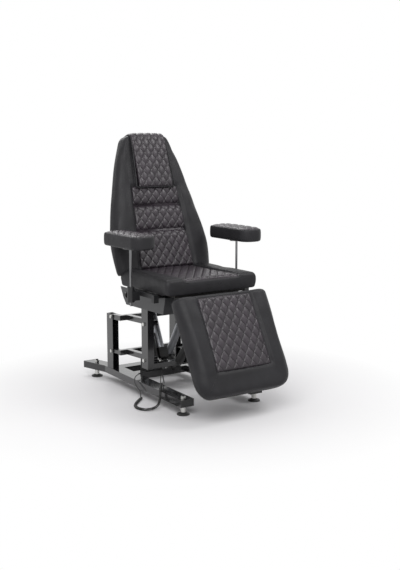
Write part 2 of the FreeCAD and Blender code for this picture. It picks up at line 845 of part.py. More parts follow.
def section(half, thick, roll, draw, panel, dip, spot):
    """Across a cushion: flat underside, drawn-in sides, rolled edges and a flat panel.

    spot turns a distance across and a height above the board into a point.
    """
    low = half - draw
    rim = half - roll * RIM_SHARE
    crest = half - roll
    mid = (crest + panel) / 2
    bulge = roll * BULGE_SHARE
    right = [(low, 0), (half, thick * WAIST_SHARE), (rim, thick * RIM_UP_SHARE), (crest, thick),
             (mid, thick - dip * CROWN_SHARE), (panel, thick - dip)]
    edges = [Part.LineSegment(spot(-low, 0), spot(low, 0)).toShape()]
    edges += edge_arcs(right, bulge, 1, spot)
    edges.append(Part.LineSegment(spot(panel, thick - dip), spot(-panel, thick - dip)).toShape())
    edges += reversed(edge_arcs(right, bulge, -1, spot))
    return Part.Wire(edges)


def edge_arcs(places, bulge, sign, spot):
    """The side, the rolled edge and the crown on one side of a cushion's section."""
    foot, waist, rim, crest, crown, seam = [spot(sign * across, up) for across, up in places]
    (rim_across, rim_up), (crest_across, crest_up) = places[2:4]
    corner = spot(sign * ((rim_across + crest_across) / 2 + bulge), (rim_up + crest_up) / 2 + bulge)
    if sign < 0:
        spans = [(rim, waist, foot), (crest, corner, rim), (seam, crown, crest)]
    else:
        spans = [(foot, waist, rim), (rim, corner, crest), (crest, crown, seam)]
    return [Part.Arc(*span).toShape() for span in spans]


def groove(start, end, up, wide, deep):
    """A sharp channel along a panel, to be cut from it."""
    run = end - start
    across = run.cross(up).normalize() * wide
    above = up * (deep / 2)
    corners = [start + across + above, start - across + above, start - up * deep]
    face = Part.Face(Part.makePolygon(corners + corners[:1]))
    return face.extrude(run)


def quilting(low, high, half_low, half_high, pitch, spot, up, wide, deep):
    """Crossing channels that cut a panel into diamonds, from height low to high.

    Half widths at both ends shape the panel; spot turns across and along into a point.
    """
    tall = high - low
    rise = pitch * QUILT_TURN_SHARE

    def half_at(along):
        return half_low + (half_high - half_low) * (along - low) / tall

    cuts = []
    widest = max(half_low, half_high)
    count = int(widest / pitch + tall / rise) + 1
    for lean in (1, -1):
        for index in range(-count, count + 1):
            centre = low + tall / 2 + index * rise
            ends = []
            for step in range(QUILT_STEPS + 1):
                across = -widest + 2 * widest * step / QUILT_STEPS
                along = centre + lean * QUILT_TURN_SHARE * across
                if low <= along <= high and abs(across) <= half_at(along):
                    ends.append((across, along))
            if len(ends) > QUILT_STEPS * SHORT_CUT_SHARE:
                cuts.append(groove(spot(*ends[0]), spot(*ends[-1]), up, wide, deep))
    return cuts


def carve(solid, cuts):
    """Take channels out of a cushion."""
    return solid.cut(cuts[0].multiFuse(cuts[1:])).removeSplitter()


def soft(label, solid, place_at=None, lean=0.0):
    """A node whose form is lofted from sections."""
    thing = doc.addObject("Part::Feature", label)
    thing.Shape = solid
    if place_at is not None:
        thing.Placement = Placement(place_at, Rotation(Vector(1, 0, 0), lean))
    return node(label, thing)


# Along the seat from its front edge: rolls in, roll off the half width, share of thickness, share of dip
SEAT_FRONT_SHARES = ((0, 0.45, 0.84, 0.5), (0.1, 0.14, 0.94, 0.7), (0.45, 0.02, 0.99, 1), (1, 0, 1, 1),
                     (2, 0, 1, 1), (4, 0, 1, 1))
# Along the seat from its rear edge: bevels in, roll off the half width, share of thickness, share of dip
SEAT_REAR_SHARES = ((2, 0, 1, 1), (1, 0.1, 0.8, 1), (0.3, 0.3, 0.4, 0.5), (0, 0.5, 0.12, 0.1))
SEAT_QUILT_SHARES = (0.1, 0.9)


def seat_cushion():
    """A wide cushion with rolled edges and a quilted middle."""
    thick = size("seat_thick")
    front = -size("seat_ahead")
    rear = size("seat_behind")
    roll = size("seat_roll")
    draw = size("seat_draw")
    panel = size("seat_panel_half")
    dip = size("seat_panel_dip")
    bevel = size("seat_bevel")
    stations = [(front + roll * back, size("seat_half") - roll * off, thin, sunk)
                for back, off, thin, sunk in SEAT_FRONT_SHARES]
    stations += [(rear - bevel * ahead, size("seat_rear_half") - roll * off, thin, sunk)
                 for ahead, off, thin, sunk in SEAT_REAR_SHARES]
    wires = []
    for along, width, thin, sunk in stations:
        wires.append(section(width, thick * thin, roll, draw, panel, dip * sunk,
                             lambda x, t, along=along: Vector(x, along, t)))
    solid = Part.makeLoft(wires, True, True)
    level = thick - dip
    long = rear - front
    low, high = SEAT_QUILT_SHARES
    cuts = quilting(front + long * low, front + long * high, panel, panel, size("quilt_pitch"),
                    lambda x, y: Vector(x, y, level), Vector(0, 0, 1), size("quilt_wide"),
                    size("quilt_deep"))
    spot = Vector(0, FRONT_Y_NOW, BOARD_Z_NOW + size("board_thick") + size("soft_gap"))
    soft("seat_cushion", carve(solid, cuts), spot)


# Named half widths at shares of the back's length
BACK_HALF_SHARES = ((0, "back_half_foot"), (0.2, "back_half_low"), (0.4, "back_half_mid"),
                    (0.6, "back_half_high"), (0.8, "back_half_top"), (1, "back_half_end"))


def back_half(share):
    """The back's half width at a share of its length."""
    for (low, first), (high, second) in zip(BACK_HALF_SHARES, BACK_HALF_SHARES[1:]):
        if share <= high:
            return size(first) + (size(second) - size(first)) * (share - low) / (high - low)
    return size("back_half_end")


BACK_TURN = -size("back_lean")
BACK_SPOT = Vector(0, FRONT_Y_NOW + size("back_hinge_behind"), BOARD_Z_NOW + size("back_hinge_up"))
BACK_FACE_Y = -size("back_face")
BACK_BOARD_Y = BACK_FACE_Y + size("back_thick") + size("soft_gap")


# Along the back: share of its length, roll off the half width, share of thickness, share of dip
BACK_SHARES = ((0, 0.75, 0.8, 0.4), (0.02, 0.25, 0.93, 0.8), (0.07, 0, 1, 1), (0.2, 0, 1, 1),
               (0.4, 0, 1, 1), (0.6, 0, 1, 1), (0.8, 0, 1, 1), (0.88, 0, 1, 1), (0.93, 0, 1, 1),
               (0.98, 0.35, 0.93, 0.8), (1, 1, 0.75, 0.4))
BACK_QUILT_SHARES = (0.09, 0.92)


def back_cushion():
    """A tapering back with rolled edges, two deep folds and diamond quilting."""
    thick = size("back_thick")
    roll = size("back_roll")
    draw = size("back_draw")
    dip = size("back_panel_dip")
    tall = size("back_long")
    foot = size("back_foot")

    def panel_at(share):
        return size("back_panel_foot") + (size("back_panel_top") - size("back_panel_foot")) * share

    wires = []
    for share, inset, thin, sunk in BACK_SHARES:
        along = foot + tall * share
        width = back_half(share) - roll * inset
        seam = min(panel_at(share), width - roll * SEAM_SHARE)
        wires.append(section(width, thick * thin, roll, draw, seam, dip * sunk,
                             lambda x, t, along=along: Vector(x, BACK_FACE_Y + thick - t, along)))
    solid = Part.makeLoft(wires, True, True)
    face = BACK_FACE_Y + dip
    toward = Vector(0, -1, 0)
    folds = []
    for name in ("back_fold_low", "back_fold_high"):
        z = foot + size(name)
        reach = panel_at(size(name) / tall)
        folds.append(groove(Vector(-reach, face, z), Vector(reach, face, z), toward,
                            size("back_fold_wide"), size("back_fold_deep")))
    low, high = BACK_QUILT_SHARES
    cuts = quilting(foot + tall * low, foot + tall * high, panel_at(low), panel_at(high),
                    size("quilt_pitch"),
                    lambda x, z: Vector(x, face, z), toward, size("quilt_wide"), size("quilt_deep"))
    soft("back_cushion", carve(carve(solid, folds), cuts), BACK_SPOT, BACK_TURN)


def panel_board(name, half_shares, low, high, front, thick):
    """A flat board whose half widths follow its cushion, in the leaning frame."""
    points = [Vector(half, front, low + (high - low) * share) for share, half in half_shares]
    mirrored = [Vector(-p.x, p.y, p.z) for p in reversed(points)]
    ring = points + mirrored
    face = Part.Face(Part.makePolygon(ring + ring[:1]))
    return face.extrude(Vector(0, thick, 0))


def back_board():
    """The plywood behind the back cushion."""
    inset = size("back_board_inset")
    tall = size("back_long")
    halves = [(share, back_half(share) - inset) for share, _ in BACK_HALF_SHARES]
    solid = panel_board("board", halves, size("back_foot") + inset / 2,
                        size("back_foot") + tall - inset / 2,
                        BACK_BOARD_Y, size("back_board_thick"))
    soft("back_board", solid, BACK_SPOT, BACK_TURN)


def frame_in(thing, label, y, z, angle):
    """Stand a piece that was built round its hinge at that hinge."""
    tilt(thing, angle)
    place(thing, "0", y, z)
    return node(label, thing)


BACK_FRAME_Y = "(-back_face + back_thick + soft_gap + back_board_thick)"


def rest_frame(label, bar_x, bar_y, wide, low, high, eye_x, eye_radius, web, plate_span, crosses, lever,
               hinge,
               angle):
    """Two bars with hinge eyes, two crossbars and a pinned lever behind a cushion's board."""
    pieces = []
    web_low, web_high = web
    for sign in SIDES.values():
        x = f"{sign} * {bar_x}"
        bar = block("bar", x, bar_y, low, wide, wide, f"{high} - ({low})")
        eye = pin("eye", f"{sign} * {eye_x}", "0", "0", eye_radius, "hinge_plate")
        reach = f"({eye_x} + hinge_plate / 2 - {bar_x})"
        root = block("root", f"{sign} * ({bar_x} + {reach} / 2)", bar_y, web_low, reach, wide,
                     f"{web_high} - ({web_low})")
        plate_low, plate_high = plate_span
        plate = block("plate", f"{sign} * {eye_x}", bar_y, plate_low, "hinge_plate",
                      f"{eye_radius} - {bar_y}",
                      f"{plate_high} - ({plate_low})")
        bore = pin("bore", f"{sign} * {eye_x}", "0", "0", "hinge_pin_radius + pin_slack",
                   "hinge_plate + 2 * side_play")
        pieces.append(cut("bored_bar", join("bar_and_eye", bar, root, plate, eye), bore))
    span = f"2 * ({bar_x} - {wide} / 2)"
    lever_x, lever_y, lever_z, root_z, root_tall = lever
    bars = [block("crossbar", "0", bar_y, z, span, wide, wide) for z in crosses]
    lugs = lug_pair(lever_x, lever_y, lever_z, bar_y, root_z, f"{lever_y} - {bar_y}", root_tall)
    lever_bar = cut("lever_bar", join("lever_bar_welded", bars[0], *lugs),
                    lug_bore(lever_x, lever_y, lever_z))
    pieces += [lever_bar, bars[1], lug_pin(lever_x, lever_y, lever_z)]
    frame_in(group(label, *pieces), label, *hinge, angle)


def back_frame():
    """The steel frame behind the back."""
    low = "(back_foot - leg_eye_radius)"
    high = f"({low} + back_bar_long)"
    rest_frame("back_frame", "back_bar_x", BACK_FRAME_Y, "back_bar_wide", low, high,
               "(back_bracket_x - hinge_plate - side_play)", "back_eye_radius", (low, "(2 * back_foot)"),
               ("0", "(2 * back_foot)"), (low, f"{high} - back_bar_wide"),
               ("back_x", "back_lever_out", "back_lever_up", "back_lever_up - eye_radius / 2",
                f"back_bar_wide + {low} - (back_lever_up - eye_radius / 2)"),
               (BACK_Y, BACK_Z), "-back_lean")


HEAD_BEND_SHARE = 1.5
HEAD_SHOULDER_SHARE = 0.7
HEAD_BORDER_SHARE = 0.33


def head_pad():
    """A quilted flap that hangs over the top of the back."""
    gap = size("head_gap")
    thick = size("head_thick")
    front = BACK_FACE_Y - gap
    rear = BACK_BOARD_Y + size("back_board_thick") + gap
    top = size("back_foot") + size("back_long") + gap
    low = top - size("head_long")
    tail = top - size("head_tail")
    bend = thick * HEAD_BEND_SHARE
    shoulder = thick * HEAD_SHOULDER_SHARE
    outer = [Vector(0, front - thick, low), Vector(0, front - thick, top - bend),
             Vector(0, front, top + thick),
             Vector(0, rear, top + thick), Vector(0, rear + thick, top - bend),
             Vector(0, rear + thick, tail)]
    inner = [Vector(0, rear, tail), Vector(0, rear, top), Vector(0, front, top), Vector(0, front, low)]
    corner = [Vector(0, front - shoulder, top + thick / 2), Vector(0, rear + shoulder, top + thick / 2)]
    edges = [Part.LineSegment(outer[0], outer[1]).toShape(),
             Part.Arc(outer[1], corner[0], outer[2]).toShape(),
             Part.LineSegment(outer[2], outer[3]).toShape(),
             Part.Arc(outer[3], corner[1], outer[4]).toShape(),
             Part.LineSegment(outer[4], outer[5]).toShape()]
    chain = [outer[5]] + inner + [outer[0]]
    edges += [Part.LineSegment(a, b).toShape() for a, b in zip(chain, chain[1:])]
    half_top = size("head_half_top")
    half_low = size("head_half_low")
    reach = half_low * 2
    strip = Part.Face(Part.Wire(edges))
    strip.translate(Vector(-reach / 2, 0, 0))
    body = strip.extrude(Vector(reach, 0, 0))
    ahead = front - reach
    above = top + thick * 2
    ring = [Vector(-half_low, ahead, low), Vector(half_low, ahead, low), Vector(half_top, ahead, above),
            Vector(-half_top, ahead, above)]
    outline = Part.Face(Part.makePolygon(ring + ring[:1]))
    body = body.common(outline.extrude(Vector(0, 3 * reach, 0)))
    face = front - thick
    border = size("quilt_pitch") * HEAD_BORDER_SHARE
    cuts = quilting(low + border, top - bend, half_low - border, half_top - border, size("quilt_pitch"),
                    lambda x, z: Vector(x, face, z), Vector(0, -1, 0), size("quilt_wide"),
                    size("quilt_deep"))
    soft("head_pad", carve(body, cuts), BACK_SPOT, BACK_TURN)


LEG_TURN = -size("leg_lean")
LEG_SPOT = Vector(0, FRONT_Y_NOW - size("leg_hinge_ahead"), BOARD_Z_NOW - size("leg_hinge_down"))
LEG_FACE_Y = -size("leg_face")
LEG_BOARD_Y = LEG_FACE_Y + size("leg_thick") + size("soft_gap")


def leg_inset(drop):
    """How far the leg rest's outline stands in from its full width, at a depth below its top."""
    corner = size("leg_corner")
    from_end = size("leg_long") - drop
    if from_end >= corner:
        return 0.0
    lack = corner - from_end
    return corner - math.sqrt(max(corner * corner - lack * lack, 0))


# Along the leg rest's top: share of its length, rolls in, share of thickness, share of dip
LEG_TOP_SHARES = ((0, 0.5, 0.82, 0.5), (0.02, 0.15, 0.94, 0.8), (0.06, 0, 1, 1))
# Along its round end: shares of the corner's radius from the end, share of thickness, share of dip
LEG_END_SHARES = ((1, 1, 1), (0.55, 1, 1), (0.25, 0.97, 0.9), (0.08, 0.9, 0.7), (0.01, 0.72, 0.4))
LEG_QUILT_SHARES = (0.77, 0.04)


def leg_cushion():
    """A thick pad with round lower corners and a quilted panel."""
    thick = size("leg_thick")
    roll = size("leg_roll")
    draw = size("leg_draw")
    dip = size("leg_panel_dip")
    tall = size("leg_long")
    panel = size("leg_panel_half")
    head = -size("leg_head")
    corner = size("leg_corner")
    stations = list(LEG_TOP_SHARES)
    stations += [(1 - corner * near / tall, 0, thin, sunk) for near, thin, sunk in LEG_END_SHARES]
    wires = []
    for share, inset, thin, sunk in stations:
        drop = tall * share
        width = size("leg_half") - leg_inset(drop) - roll * inset
        seam = min(panel, width - roll * SEAM_SHARE)
        wires.append(section(width, thick * thin, roll, draw, seam, dip * sunk,
                             lambda x, t, drop=drop: Vector(x, LEG_FACE_Y + thick - t, head - drop)))
    solid = Part.makeLoft(wires, True, True)
    face = LEG_FACE_Y + dip
    low, high = LEG_QUILT_SHARES
    cuts = quilting(head - tall * low, head - tall * high, panel, panel, size("quilt_pitch"),
                    lambda x, z: Vector(x, face, z), Vector(0, -1, 0), size("quilt_wide"),
                    size("quilt_deep"))
    soft("leg_cushion", carve(solid, cuts), LEG_SPOT, LEG_TURN)


def leg_board():
    """The plywood behind the leg rest's cushion."""
    inset = size("leg_board_inset")
    tall = size("leg_long")
    corner = size("leg_corner")
    drops = [inset / 2, tall - corner, tall - corner / 2, tall - inset]
    low = -size("leg_head") - drops[-1]
    high = -size("leg_head") - drops[0]
    halves = []
    for drop in reversed(drops):
        share = (drops[-1] - drop) / (drops[-1] - drops[0])
        halves.append((share, size("leg_half") - leg_inset(drop) - inset))
    solid = panel_board("board", halves, low, high, LEG_BOARD_Y, size("leg_board_thick"))
    soft("leg_board", solid, LEG_SPOT, LEG_TURN)


LEG_FRAME_Y = "(-leg_face + leg_thick + soft_gap + leg_board_thick)"


def leg_frame():
    """The steel frame behind the leg rest."""
    low = "(-leg_head - leg_bar_long)"
    high = "(-leg_head - leg_eye_radius / 2)"
    cross = "(-leg_lever_down + eye_radius + skirt_thick)"
    rest_frame("leg_frame", "leg_bar_x", LEG_FRAME_Y, "leg_bar_wide", low, high,
               "(leg_bracket_x - hinge_plate - side_play)", "leg_eye_radius",
               ("(-leg_head - 3 * leg_eye_radius)", high), ("(-leg_head - 3 * leg_eye_radius)", "0"),
               (cross, low),
               ("leg_x", "leg_lever_out", "(-leg_lever_down)", "-leg_lever_down - eye_radius / 2",
                f"{cross} + leg_bar_wide - (-leg_lever_down - eye_radius / 2)"),
               (LEG_Y, LEG_Z), "-leg_lean")


# Armrests

def side_bars():
    """A bar beside each seat edge on two plates, with a block at its front end."""
    bars = []
    for sign in SIDES.values():
        x = f"{sign} * side_bar_x"
        front = f"({FRONT_Y} - side_bar_ahead)"
        z = f"({BOARD_Z} - side_bar_drop)"
        pieces = [block("bar", x, front, z, "side_bar_wide", "side_bar_ahead + side_bar_behind",
                        "side_bar_tall")]
        pieces.append(block("end_block", x, f"{front} - end_block_deep / 2", f"{z} - end_block_drop",
                            "end_block_wide", "end_block_deep", "side_bar_tall + end_block_drop"))
        plate_z = f"{BOARD_Z} - rest_plate_thick"
        reach = f"(side_bar_x - {POST_INNER})"
        middle = f"{sign} * ({POST_INNER} + {reach} / 2)"
        for y in (front, f"{FRONT_Y} - post_ahead - rest_plate_deep - side_play"):
            pieces.append(block("plate", middle, y, plate_z, reach, "rest_plate_deep", "rest_plate_thick"))
        bars.append(join("side_bar", *pieces))
    node("arm_bars", group("side_bars", *bars))


def clamps():
    """A block on each side bar that grips the armrest's post."""
    blocks = []
    z = f"({BOARD_Z} - collar_drop)"
    for sign in SIDES.values():
        inner = "(side_bar_x + side_bar_wide / 2)"
        middle = f"{sign} * ({inner} + (rest_x - {inner}) / 2)"
        body = block("block", middle, f"{REST_Y} - clamp_deep / 2",
                     f"{BOARD_Z} - knob_drop - clamp_tall / 2",
                     f"rest_x - {inner}", "clamp_deep", "clamp_tall")
        collar = rod("collar", "Z", f"{sign} * rest_x", REST_Y, z, "collar_radius", "collar_tall")
        bore = rod("bore", "Z", f"{sign} * rest_x", REST_Y, f"{z} - overrun",
                   "rest_post_radius + pin_slack",
                   "collar_tall + 2 * overrun")
        thread = rod("thread", "Y", f"{sign} * rest_x", REST_Y, f"{BOARD_Z} - knob_drop",
                     "knob_stem_radius + pin_slack", "clamp_deep")
        blocks.append(cut("clamp", join("clamp_welded", body, collar), bore, thread))
    node("arm_clamps", group("clamps", *blocks))


def armrest(side, sign):
    """A post with a flange and the knob that locks the post."""
    x = f"{sign} * rest_x"
    low = f"({BOARD_Z} - rest_post_down)"
    post = rod("post", "Z", x, REST_Y, low, "rest_post_radius", f"{REST_PAD_Z} - {low}")
    flange = rod("flange", "Z", x, REST_Y, f"{REST_PAD_Z} - rest_flange_thick", "rest_flange_radius",
                 "rest_flange_thick")
    node(f"arm_post_{side}", join(f"arm_post_{side}", post, flange))
    body = new_body(f"knob_{side}")
    bare = "(knob_stem_bare + rest_post_radius)"
    turned(body, "knob", [
        ("0", "rest_post_radius + soft_gap"), ("knob_stem_radius", "rest_post_radius + soft_gap"),
        ("knob_stem_radius", f"{bare} + rest_post_radius"), ("knob_radius", f"{bare} + rest_post_radius"),
        ("knob_radius", f"{bare} + rest_post_radius + knob_long"),
        ("0", f"{bare} + rest_post_radius + knob_long")])
    body.Placement = Placement(Vector(), TURNS["Y"])
    place(body, x, REST_Y, f"{BOARD_Z} - knob_drop")
    node(f"clamp_knob_{side}", body)


# Along an arm pad: share of its length, share of its width, share of its thickness
PAD_SHARES = ((0, 0.55, 0.72), (0.03, 0.8, 0.88), (0.09, 0.95, 0.96), (0.2, 1, 1), (0.8, 1, 1),
              (0.91, 0.95, 0.96),
              (0.97, 0.8, 0.88), (1, 0.55, 0.72))
PAD_DRAW_SHARE = 0.3
PAD_DIP_SHARE = 0.1
PAD_SEAM_SHARE = 1.4
PAD_QUILT_SHARES = (0.62, 0.68)


def arm_pad(side, sign):
    """A long padded arm with round ends and a quilted top."""
    half = size("rest_pad_half")
    ahead = size("rest_pad_ahead")
    behind = size("rest_pad_behind")
    thick = size("rest_pad_thick")
    roll = size("rest_pad_roll")
    dip = roll * PAD_DIP_SHARE
    wires = []
    for share, narrow, thin in PAD_SHARES:
        along = -ahead + (ahead + behind) * share
        seam = half * narrow - roll * PAD_SEAM_SHARE
        wires.append(section(half * narrow, thick * thin, roll * narrow, roll * PAD_DRAW_SHARE, seam, dip,
                             lambda x, t, along=along: Vector(x, along, t)))
    solid = Part.makeLoft(wires, True, True)
    level = thick - dip
    reach = half - roll * PAD_SEAM_SHARE
    low, high = PAD_QUILT_SHARES
    cuts = quilting(-ahead * low, behind * high, reach, reach, size("quilt_pitch"),
                    lambda x, y: Vector(x, y, level), Vector(0, 0, 1), size("quilt_wide"),
                    size("quilt_deep"))
    spot = Vector(sign * size("rest_x"), FRONT_Y_NOW - size("rest_ahead"),
                  BOARD_Z_NOW + size("rest_pad_up") + size("soft_gap"))
    soft(f"arm_pad_{side}", carve(solid, cuts), spot)


# Linear actuators

def lever_tip(hinge_y, hinge_z, out, up, lean):
    """A lever's pin in the chair's frame, from its place in the leaning frame."""
    y = f"({hinge_y} + {out} * cos({lean}) + ({up}) * sin({lean}))"
    z = f"({hinge_z} - {out} * sin({lean}) + ({up}) * cos({lean}))"
    return y, z


BACK_TIP = lever_tip(BACK_Y, BACK_Z, "back_lever_out", "back_lever_up", "back_lean")
LEG_TIP = lever_tip(LEG_Y, LEG_Z, "leg_lever_out", "-leg_lever_down", "leg_lean")


def actuator(name, foot, tip, tube_top, rod_long, motor):
    """A gearbox with its motor, an outer tube and a rod, between a foot pin and a tip pin."""
    x, foot_y, foot_z = foot
    tip_y, tip_z = tip
    rise = f"({tip_z} - {foot_z})"
    run = f"({tip_y} - {foot_y})"
    angle = f"-atan2({run}; {rise})"
    eye = pin("eye", x, "0", "0", "eye_radius", "eye_wide")
    tail = block("tail", x, "-eye_radius / 2", "0", "eye_wide", "eye_radius", "gear_start")
    gear = block("gear", x, "-gear_deep / 2", "gear_start", "gear_wide", "gear_deep", "gear_long")
    bore = pin("bore", x, "0", "0", "bolt_radius + pin_slack", "2 * eye_wide")
    housing = cut(f"{name}_housing", join("housing", eye, tail, gear, *motor), bore)
    frame_in(housing, f"{name}_motor", foot_y, foot_z, angle)
    start = "(gear_start + gear_long)"
    outside = rod("outside", "Z", x, "0", start, "tube_radius", f"{tube_top} - {start}")
    inside = rod("inside", "Z", x, "0", f"{start} - overrun", "tube_radius - tube_wall", f"{tube_top}")
    frame_in(cut(f"{name}_sleeve", outside, inside), f"{name}_tube", foot_y, foot_z, angle)
    bar = rod("bar", "Z", x, "0", f"-{rod_long}", "rod_radius", rod_long)
    eye = pin("eye", x, "0", "0", "eye_radius", "eye_wide")
    bore = pin("bore", x, "0", "0", "bolt_radius + pin_slack", "2 * eye_wide")
    rod_piece = cut(f"{name}_piston", join("piston", bar, eye), bore)
    frame_in(rod_piece, f"{name}_rod", tip_y, tip_z, angle)


def actuators():
    """Lift, back and leg actuators with their motors."""
    ahead = "-gear_deep / 2 - motor_long"
    middle = "(gear_start + gear_long / 2)"
    lift_motor = [rod("motor", "Y", "lift_x", ahead, middle, "motor_radius", "motor_long")]
    lift_motor.append(rod("ring", "Y", "lift_x", f"{ahead} - motor_ring", middle,
                          "motor_radius - motor_ring",
                          "motor_ring"))
    actuator("lift", LIFT_FOOT, LIFT_HEAD[1:], "lift_tube_top", "lift_rod_long", lift_motor)
    side = "(gear_wide / 2 + motor_radius - motor_ring)"
    back_motor = [rod("motor", "Z", f"back_x - {side}", "0", "gear_start", "motor_radius - motor_ring",
                      "gear_long + motor_long")]
    actuator("back", BACK_FOOT, BACK_TIP, "back_tube_top", "back_rod_long", back_motor)
    leg_motor = [rod("motor", "Z", f"leg_x - {side}", "0", "gear_start", "motor_radius - motor_ring",
                     "gear_long + motor_long")]
    actuator("leg", LEG_FOOT, LEG_TIP, "leg_tube_top", "leg_rod_long", leg_motor)


def lift_bracket():
    """Two plates on the front crossbeam with the lift actuator's foot pin."""
    x, y, z = LIFT_FOOT
    plates = lug_pair(x, y, z, f"{y} - eye_radius", BEAM_Z, "2 * eye_radius", f"{z} - {BEAM_Z}")
    halves = [cut("plate_pair", join("plates", *plates[:2]), lug_bore(*LIFT_FOOT)),
              cut("plate_pair", join("plates", *plates[2:]), lug_bore(*LIFT_FOOT))]
    node("lift_bracket", group("lift_bracket", *halves, lug_pin(*LIFT_FOOT)))


# Control box and handset

def control_box():
    """The box on the front crossbeam that feeds the actuators."""
    body = new_body("box")
    half = "box_wide / 2"
    deep = "box_deep / 2"
    pad = padded(body, "case", "XY_Plane", [(f"-{half}", f"-{deep}"), (half, f"-{deep}"), (half, deep),
                                            (f"-{half}", deep)], "box_tall")
    rounded(body, "rounding", pad, Vector(0, 0, 1), "box_round")
    place(body, "box_x", f"box_y + {deep}", f"{BEAM_Z} + box_tall / 2")
    gland = rod("gland", "Y", "box_x", "box_y - gland_long", f"{BEAM_Z} + gland_up", "gland_radius",
                "gland_long")
    node("control_box", join("control_box", body, gland))


HAND_Z = f"({BEAM_Z} + hand_lift)"


def handset():
    """A handset in a cup on the front crossbeam, with three rocker keys."""
    x = "hand_x"
    room = "(hand_deep + 2 * cup_wall + 2 * side_play)"
    side_room = "(hand_wide + 2 * cup_wall + 2 * side_play)"
    front = "(hand_y - cup_wall - side_play)"
    shell = block("cup_shell", x, front, BEAM_Z, side_room, room, "cup_tall")
    hollow = block("cup_hollow", x, "hand_y - side_play", f"{HAND_Z} - side_play",
                   "hand_wide + 2 * side_play",
                   "hand_deep + 2 * side_play", "cup_tall")
    slot_wide = "(3 * gland_radius)"
    slot = block("cup_slot", x, f"{front} - overrun", f"{HAND_Z} - side_play", slot_wide,
                 "cup_wall + 2 * overrun",
                 "cup_tall")
    node("handset_holder", cut("holder", shell, hollow, slot))
    body = new_body("handset_body")
    half = "hand_wide / 2"
    deep = "hand_deep / 2"
    pad = padded(body, "case", "XZ_Plane", [(f"-{half}", "-hand_tall / 2"), (half, "-hand_tall / 2"),
                                            (half, "hand_tall / 2"), (f"-{half}", "hand_tall / 2")],
                                            "hand_deep")
    rounded(body, "rounding", pad, Vector(0, 1, 0), "hand_round")
    place(body, x, f"hand_y + {deep}", f"{HAND_Z} + hand_tall / 2")
    gland = rod("gland", "Y", x, "hand_y - gland_long", f"{BEAM_Z} + gland_up", "gland_radius",
                "gland_long")
    recesses = []
    for index, name in enumerate(("leg", "back", "lift")):
        z = f"({HAND_Z} + key_first + {index} * key_pitch)"
        room_z = f"{z} - key_tall / 2 - key_play"
        recess = block("recess", x, "hand_y - overrun", room_z, "key_wide + 2 * key_play",
                       "overrun + key_thick + key_play - (key_thick - key_sunk - key_play)",
                       "key_tall + 2 * key_play")
        pivot = pin("pivot_hole", x, "hand_y + key_sunk / 2", z, "key_pin + pin_slack",
                    "key_wide + 2 * key_play + 2 * key_pin_in + 2 * side_play")
        recesses += [recess, pivot]
        key = block("cap", x, "hand_y + key_sunk - key_thick", f"{z} - key_tall / 2", "key_wide",
                    "key_thick",
                    "key_tall")
        axle = pin("axle", x, "hand_y + key_sunk / 2", z, "key_pin",
                   "key_wide + 2 * key_play + 2 * key_pin_in")
        node(f"handset_key_{name}", join(f"key_{name}", key, axle))
    node("handset_shell", cut("handset_shell", join("handset_case", body, gland), *recesses))


def cord_hook():
    """A bent wire hook under the seat frame for the handset."""
    y = f"({FRONT_Y} - lift_bar_ahead - seat_rail_wide)"
    x = f"(-{RAIL_X})"
    drop = rod("drop", "Z", x, y, f"{RAIL_Z} - hook_drop", "hook_radius", "hook_drop")
    foot = rod("foot", "Y", x, f"{y} - hook_reach", f"{RAIL_Z} - hook_drop + hook_radius", "hook_radius",
               "hook_reach")
    tip = rod("tip", "Z", x, f"{y} - hook_reach", f"{RAIL_Z} - hook_drop", "hook_radius", "hook_drop / 2")
    node("cord_hook", join("cord_hook", drop, foot, tip))


# Handset cord

def arc_mid(start, tangent, end):
    """The middle of the arc that leaves a point along a tangent and reaches an end."""
    chord = end - start
    cosine = max(-1.0, min(1.0, tangent.dot(chord) / chord.Length))
    angle = math.acos(cosine)
    side = tangent - chord * (tangent.dot(chord) / chord.Length ** 2)
    if side.Length < 1e-9:
        return (start + end) * 0.5
    return (start + end) * 0.5 + side.normalize() * (chord.Length / 2 * math.tan(angle / 2))


def biarc(start, tangent, end, end_tangent):
    """Two arcs that join two points with given tangents."""
    gap = end - start
    both = tangent + end_tangent
    spread = 2 * (1 - tangent.dot(end_tangent))
    along = gap.dot(both)
    if spread < 1e-9:
        reach = gap.Length ** 2 / (2 * along)
    else:
        reach = (-along + math.sqrt(along * along + spread * gap.Length ** 2)) / spread
    first = start + tangent * reach
    second = end - end_tangent * reach
    middle = (first + second) * 0.5
    turn = (second - first).normalize()
    return [(start, arc_mid(start, tangent, middle), middle), (middle, arc_mid(middle, turn, end), end)]


def route(points):
    """Straight runs with tangent arcs at the corners, and the arcs' radii."""
    pieces = []
    radii = []
    last = points[0]
    for before, corner, after in zip(points, points[1:], points[2:]):
        back = (before - corner).normalize()
        ahead = (after - corner).normalize()
        turn = math.pi - back.getAngle(ahead)
        shorter = min((before - corner).Length, (after - corner).Length)
        trim = TRIM_SHARE * shorter
        radii.append(trim / math.tan(turn / 2))
        enter = corner + back * trim
        leave = corner + ahead * trim
        pieces.append((last, enter))
        pieces.append((enter, arc_mid(enter, back * -1, leave), leave))
        last = leave
    pieces.append((last, points[-1]))
    return pieces, radii


def spine_of(pieces):
    """A wire through lines and arcs."""
    edges = []
    for piece in pieces:
        if len(piece) == 2:
            edges.append(Part.LineSegment(*piece).toShape())
        else:
            edges.append(Part.Arc(*piece).toShape())
    return Part.Wire(edges)


def ring_at(point, direction, radius, corners):
    """A round or many-sided outline square to a direction."""
    if corners == 0:
        return Part.Wire([Part.Circle(point, direction, radius).toShape()])
    turn = Rotation(Vector(0, 0, 1), direction)
    steps = [2 * math.pi * i / corners for i in range(corners)]
    spots = [point + turn.multVec(Vector(radius * math.cos(a), radius * math.sin(a), 0)) for a in steps]
    return Part.makePolygon(spots + spots[:1])


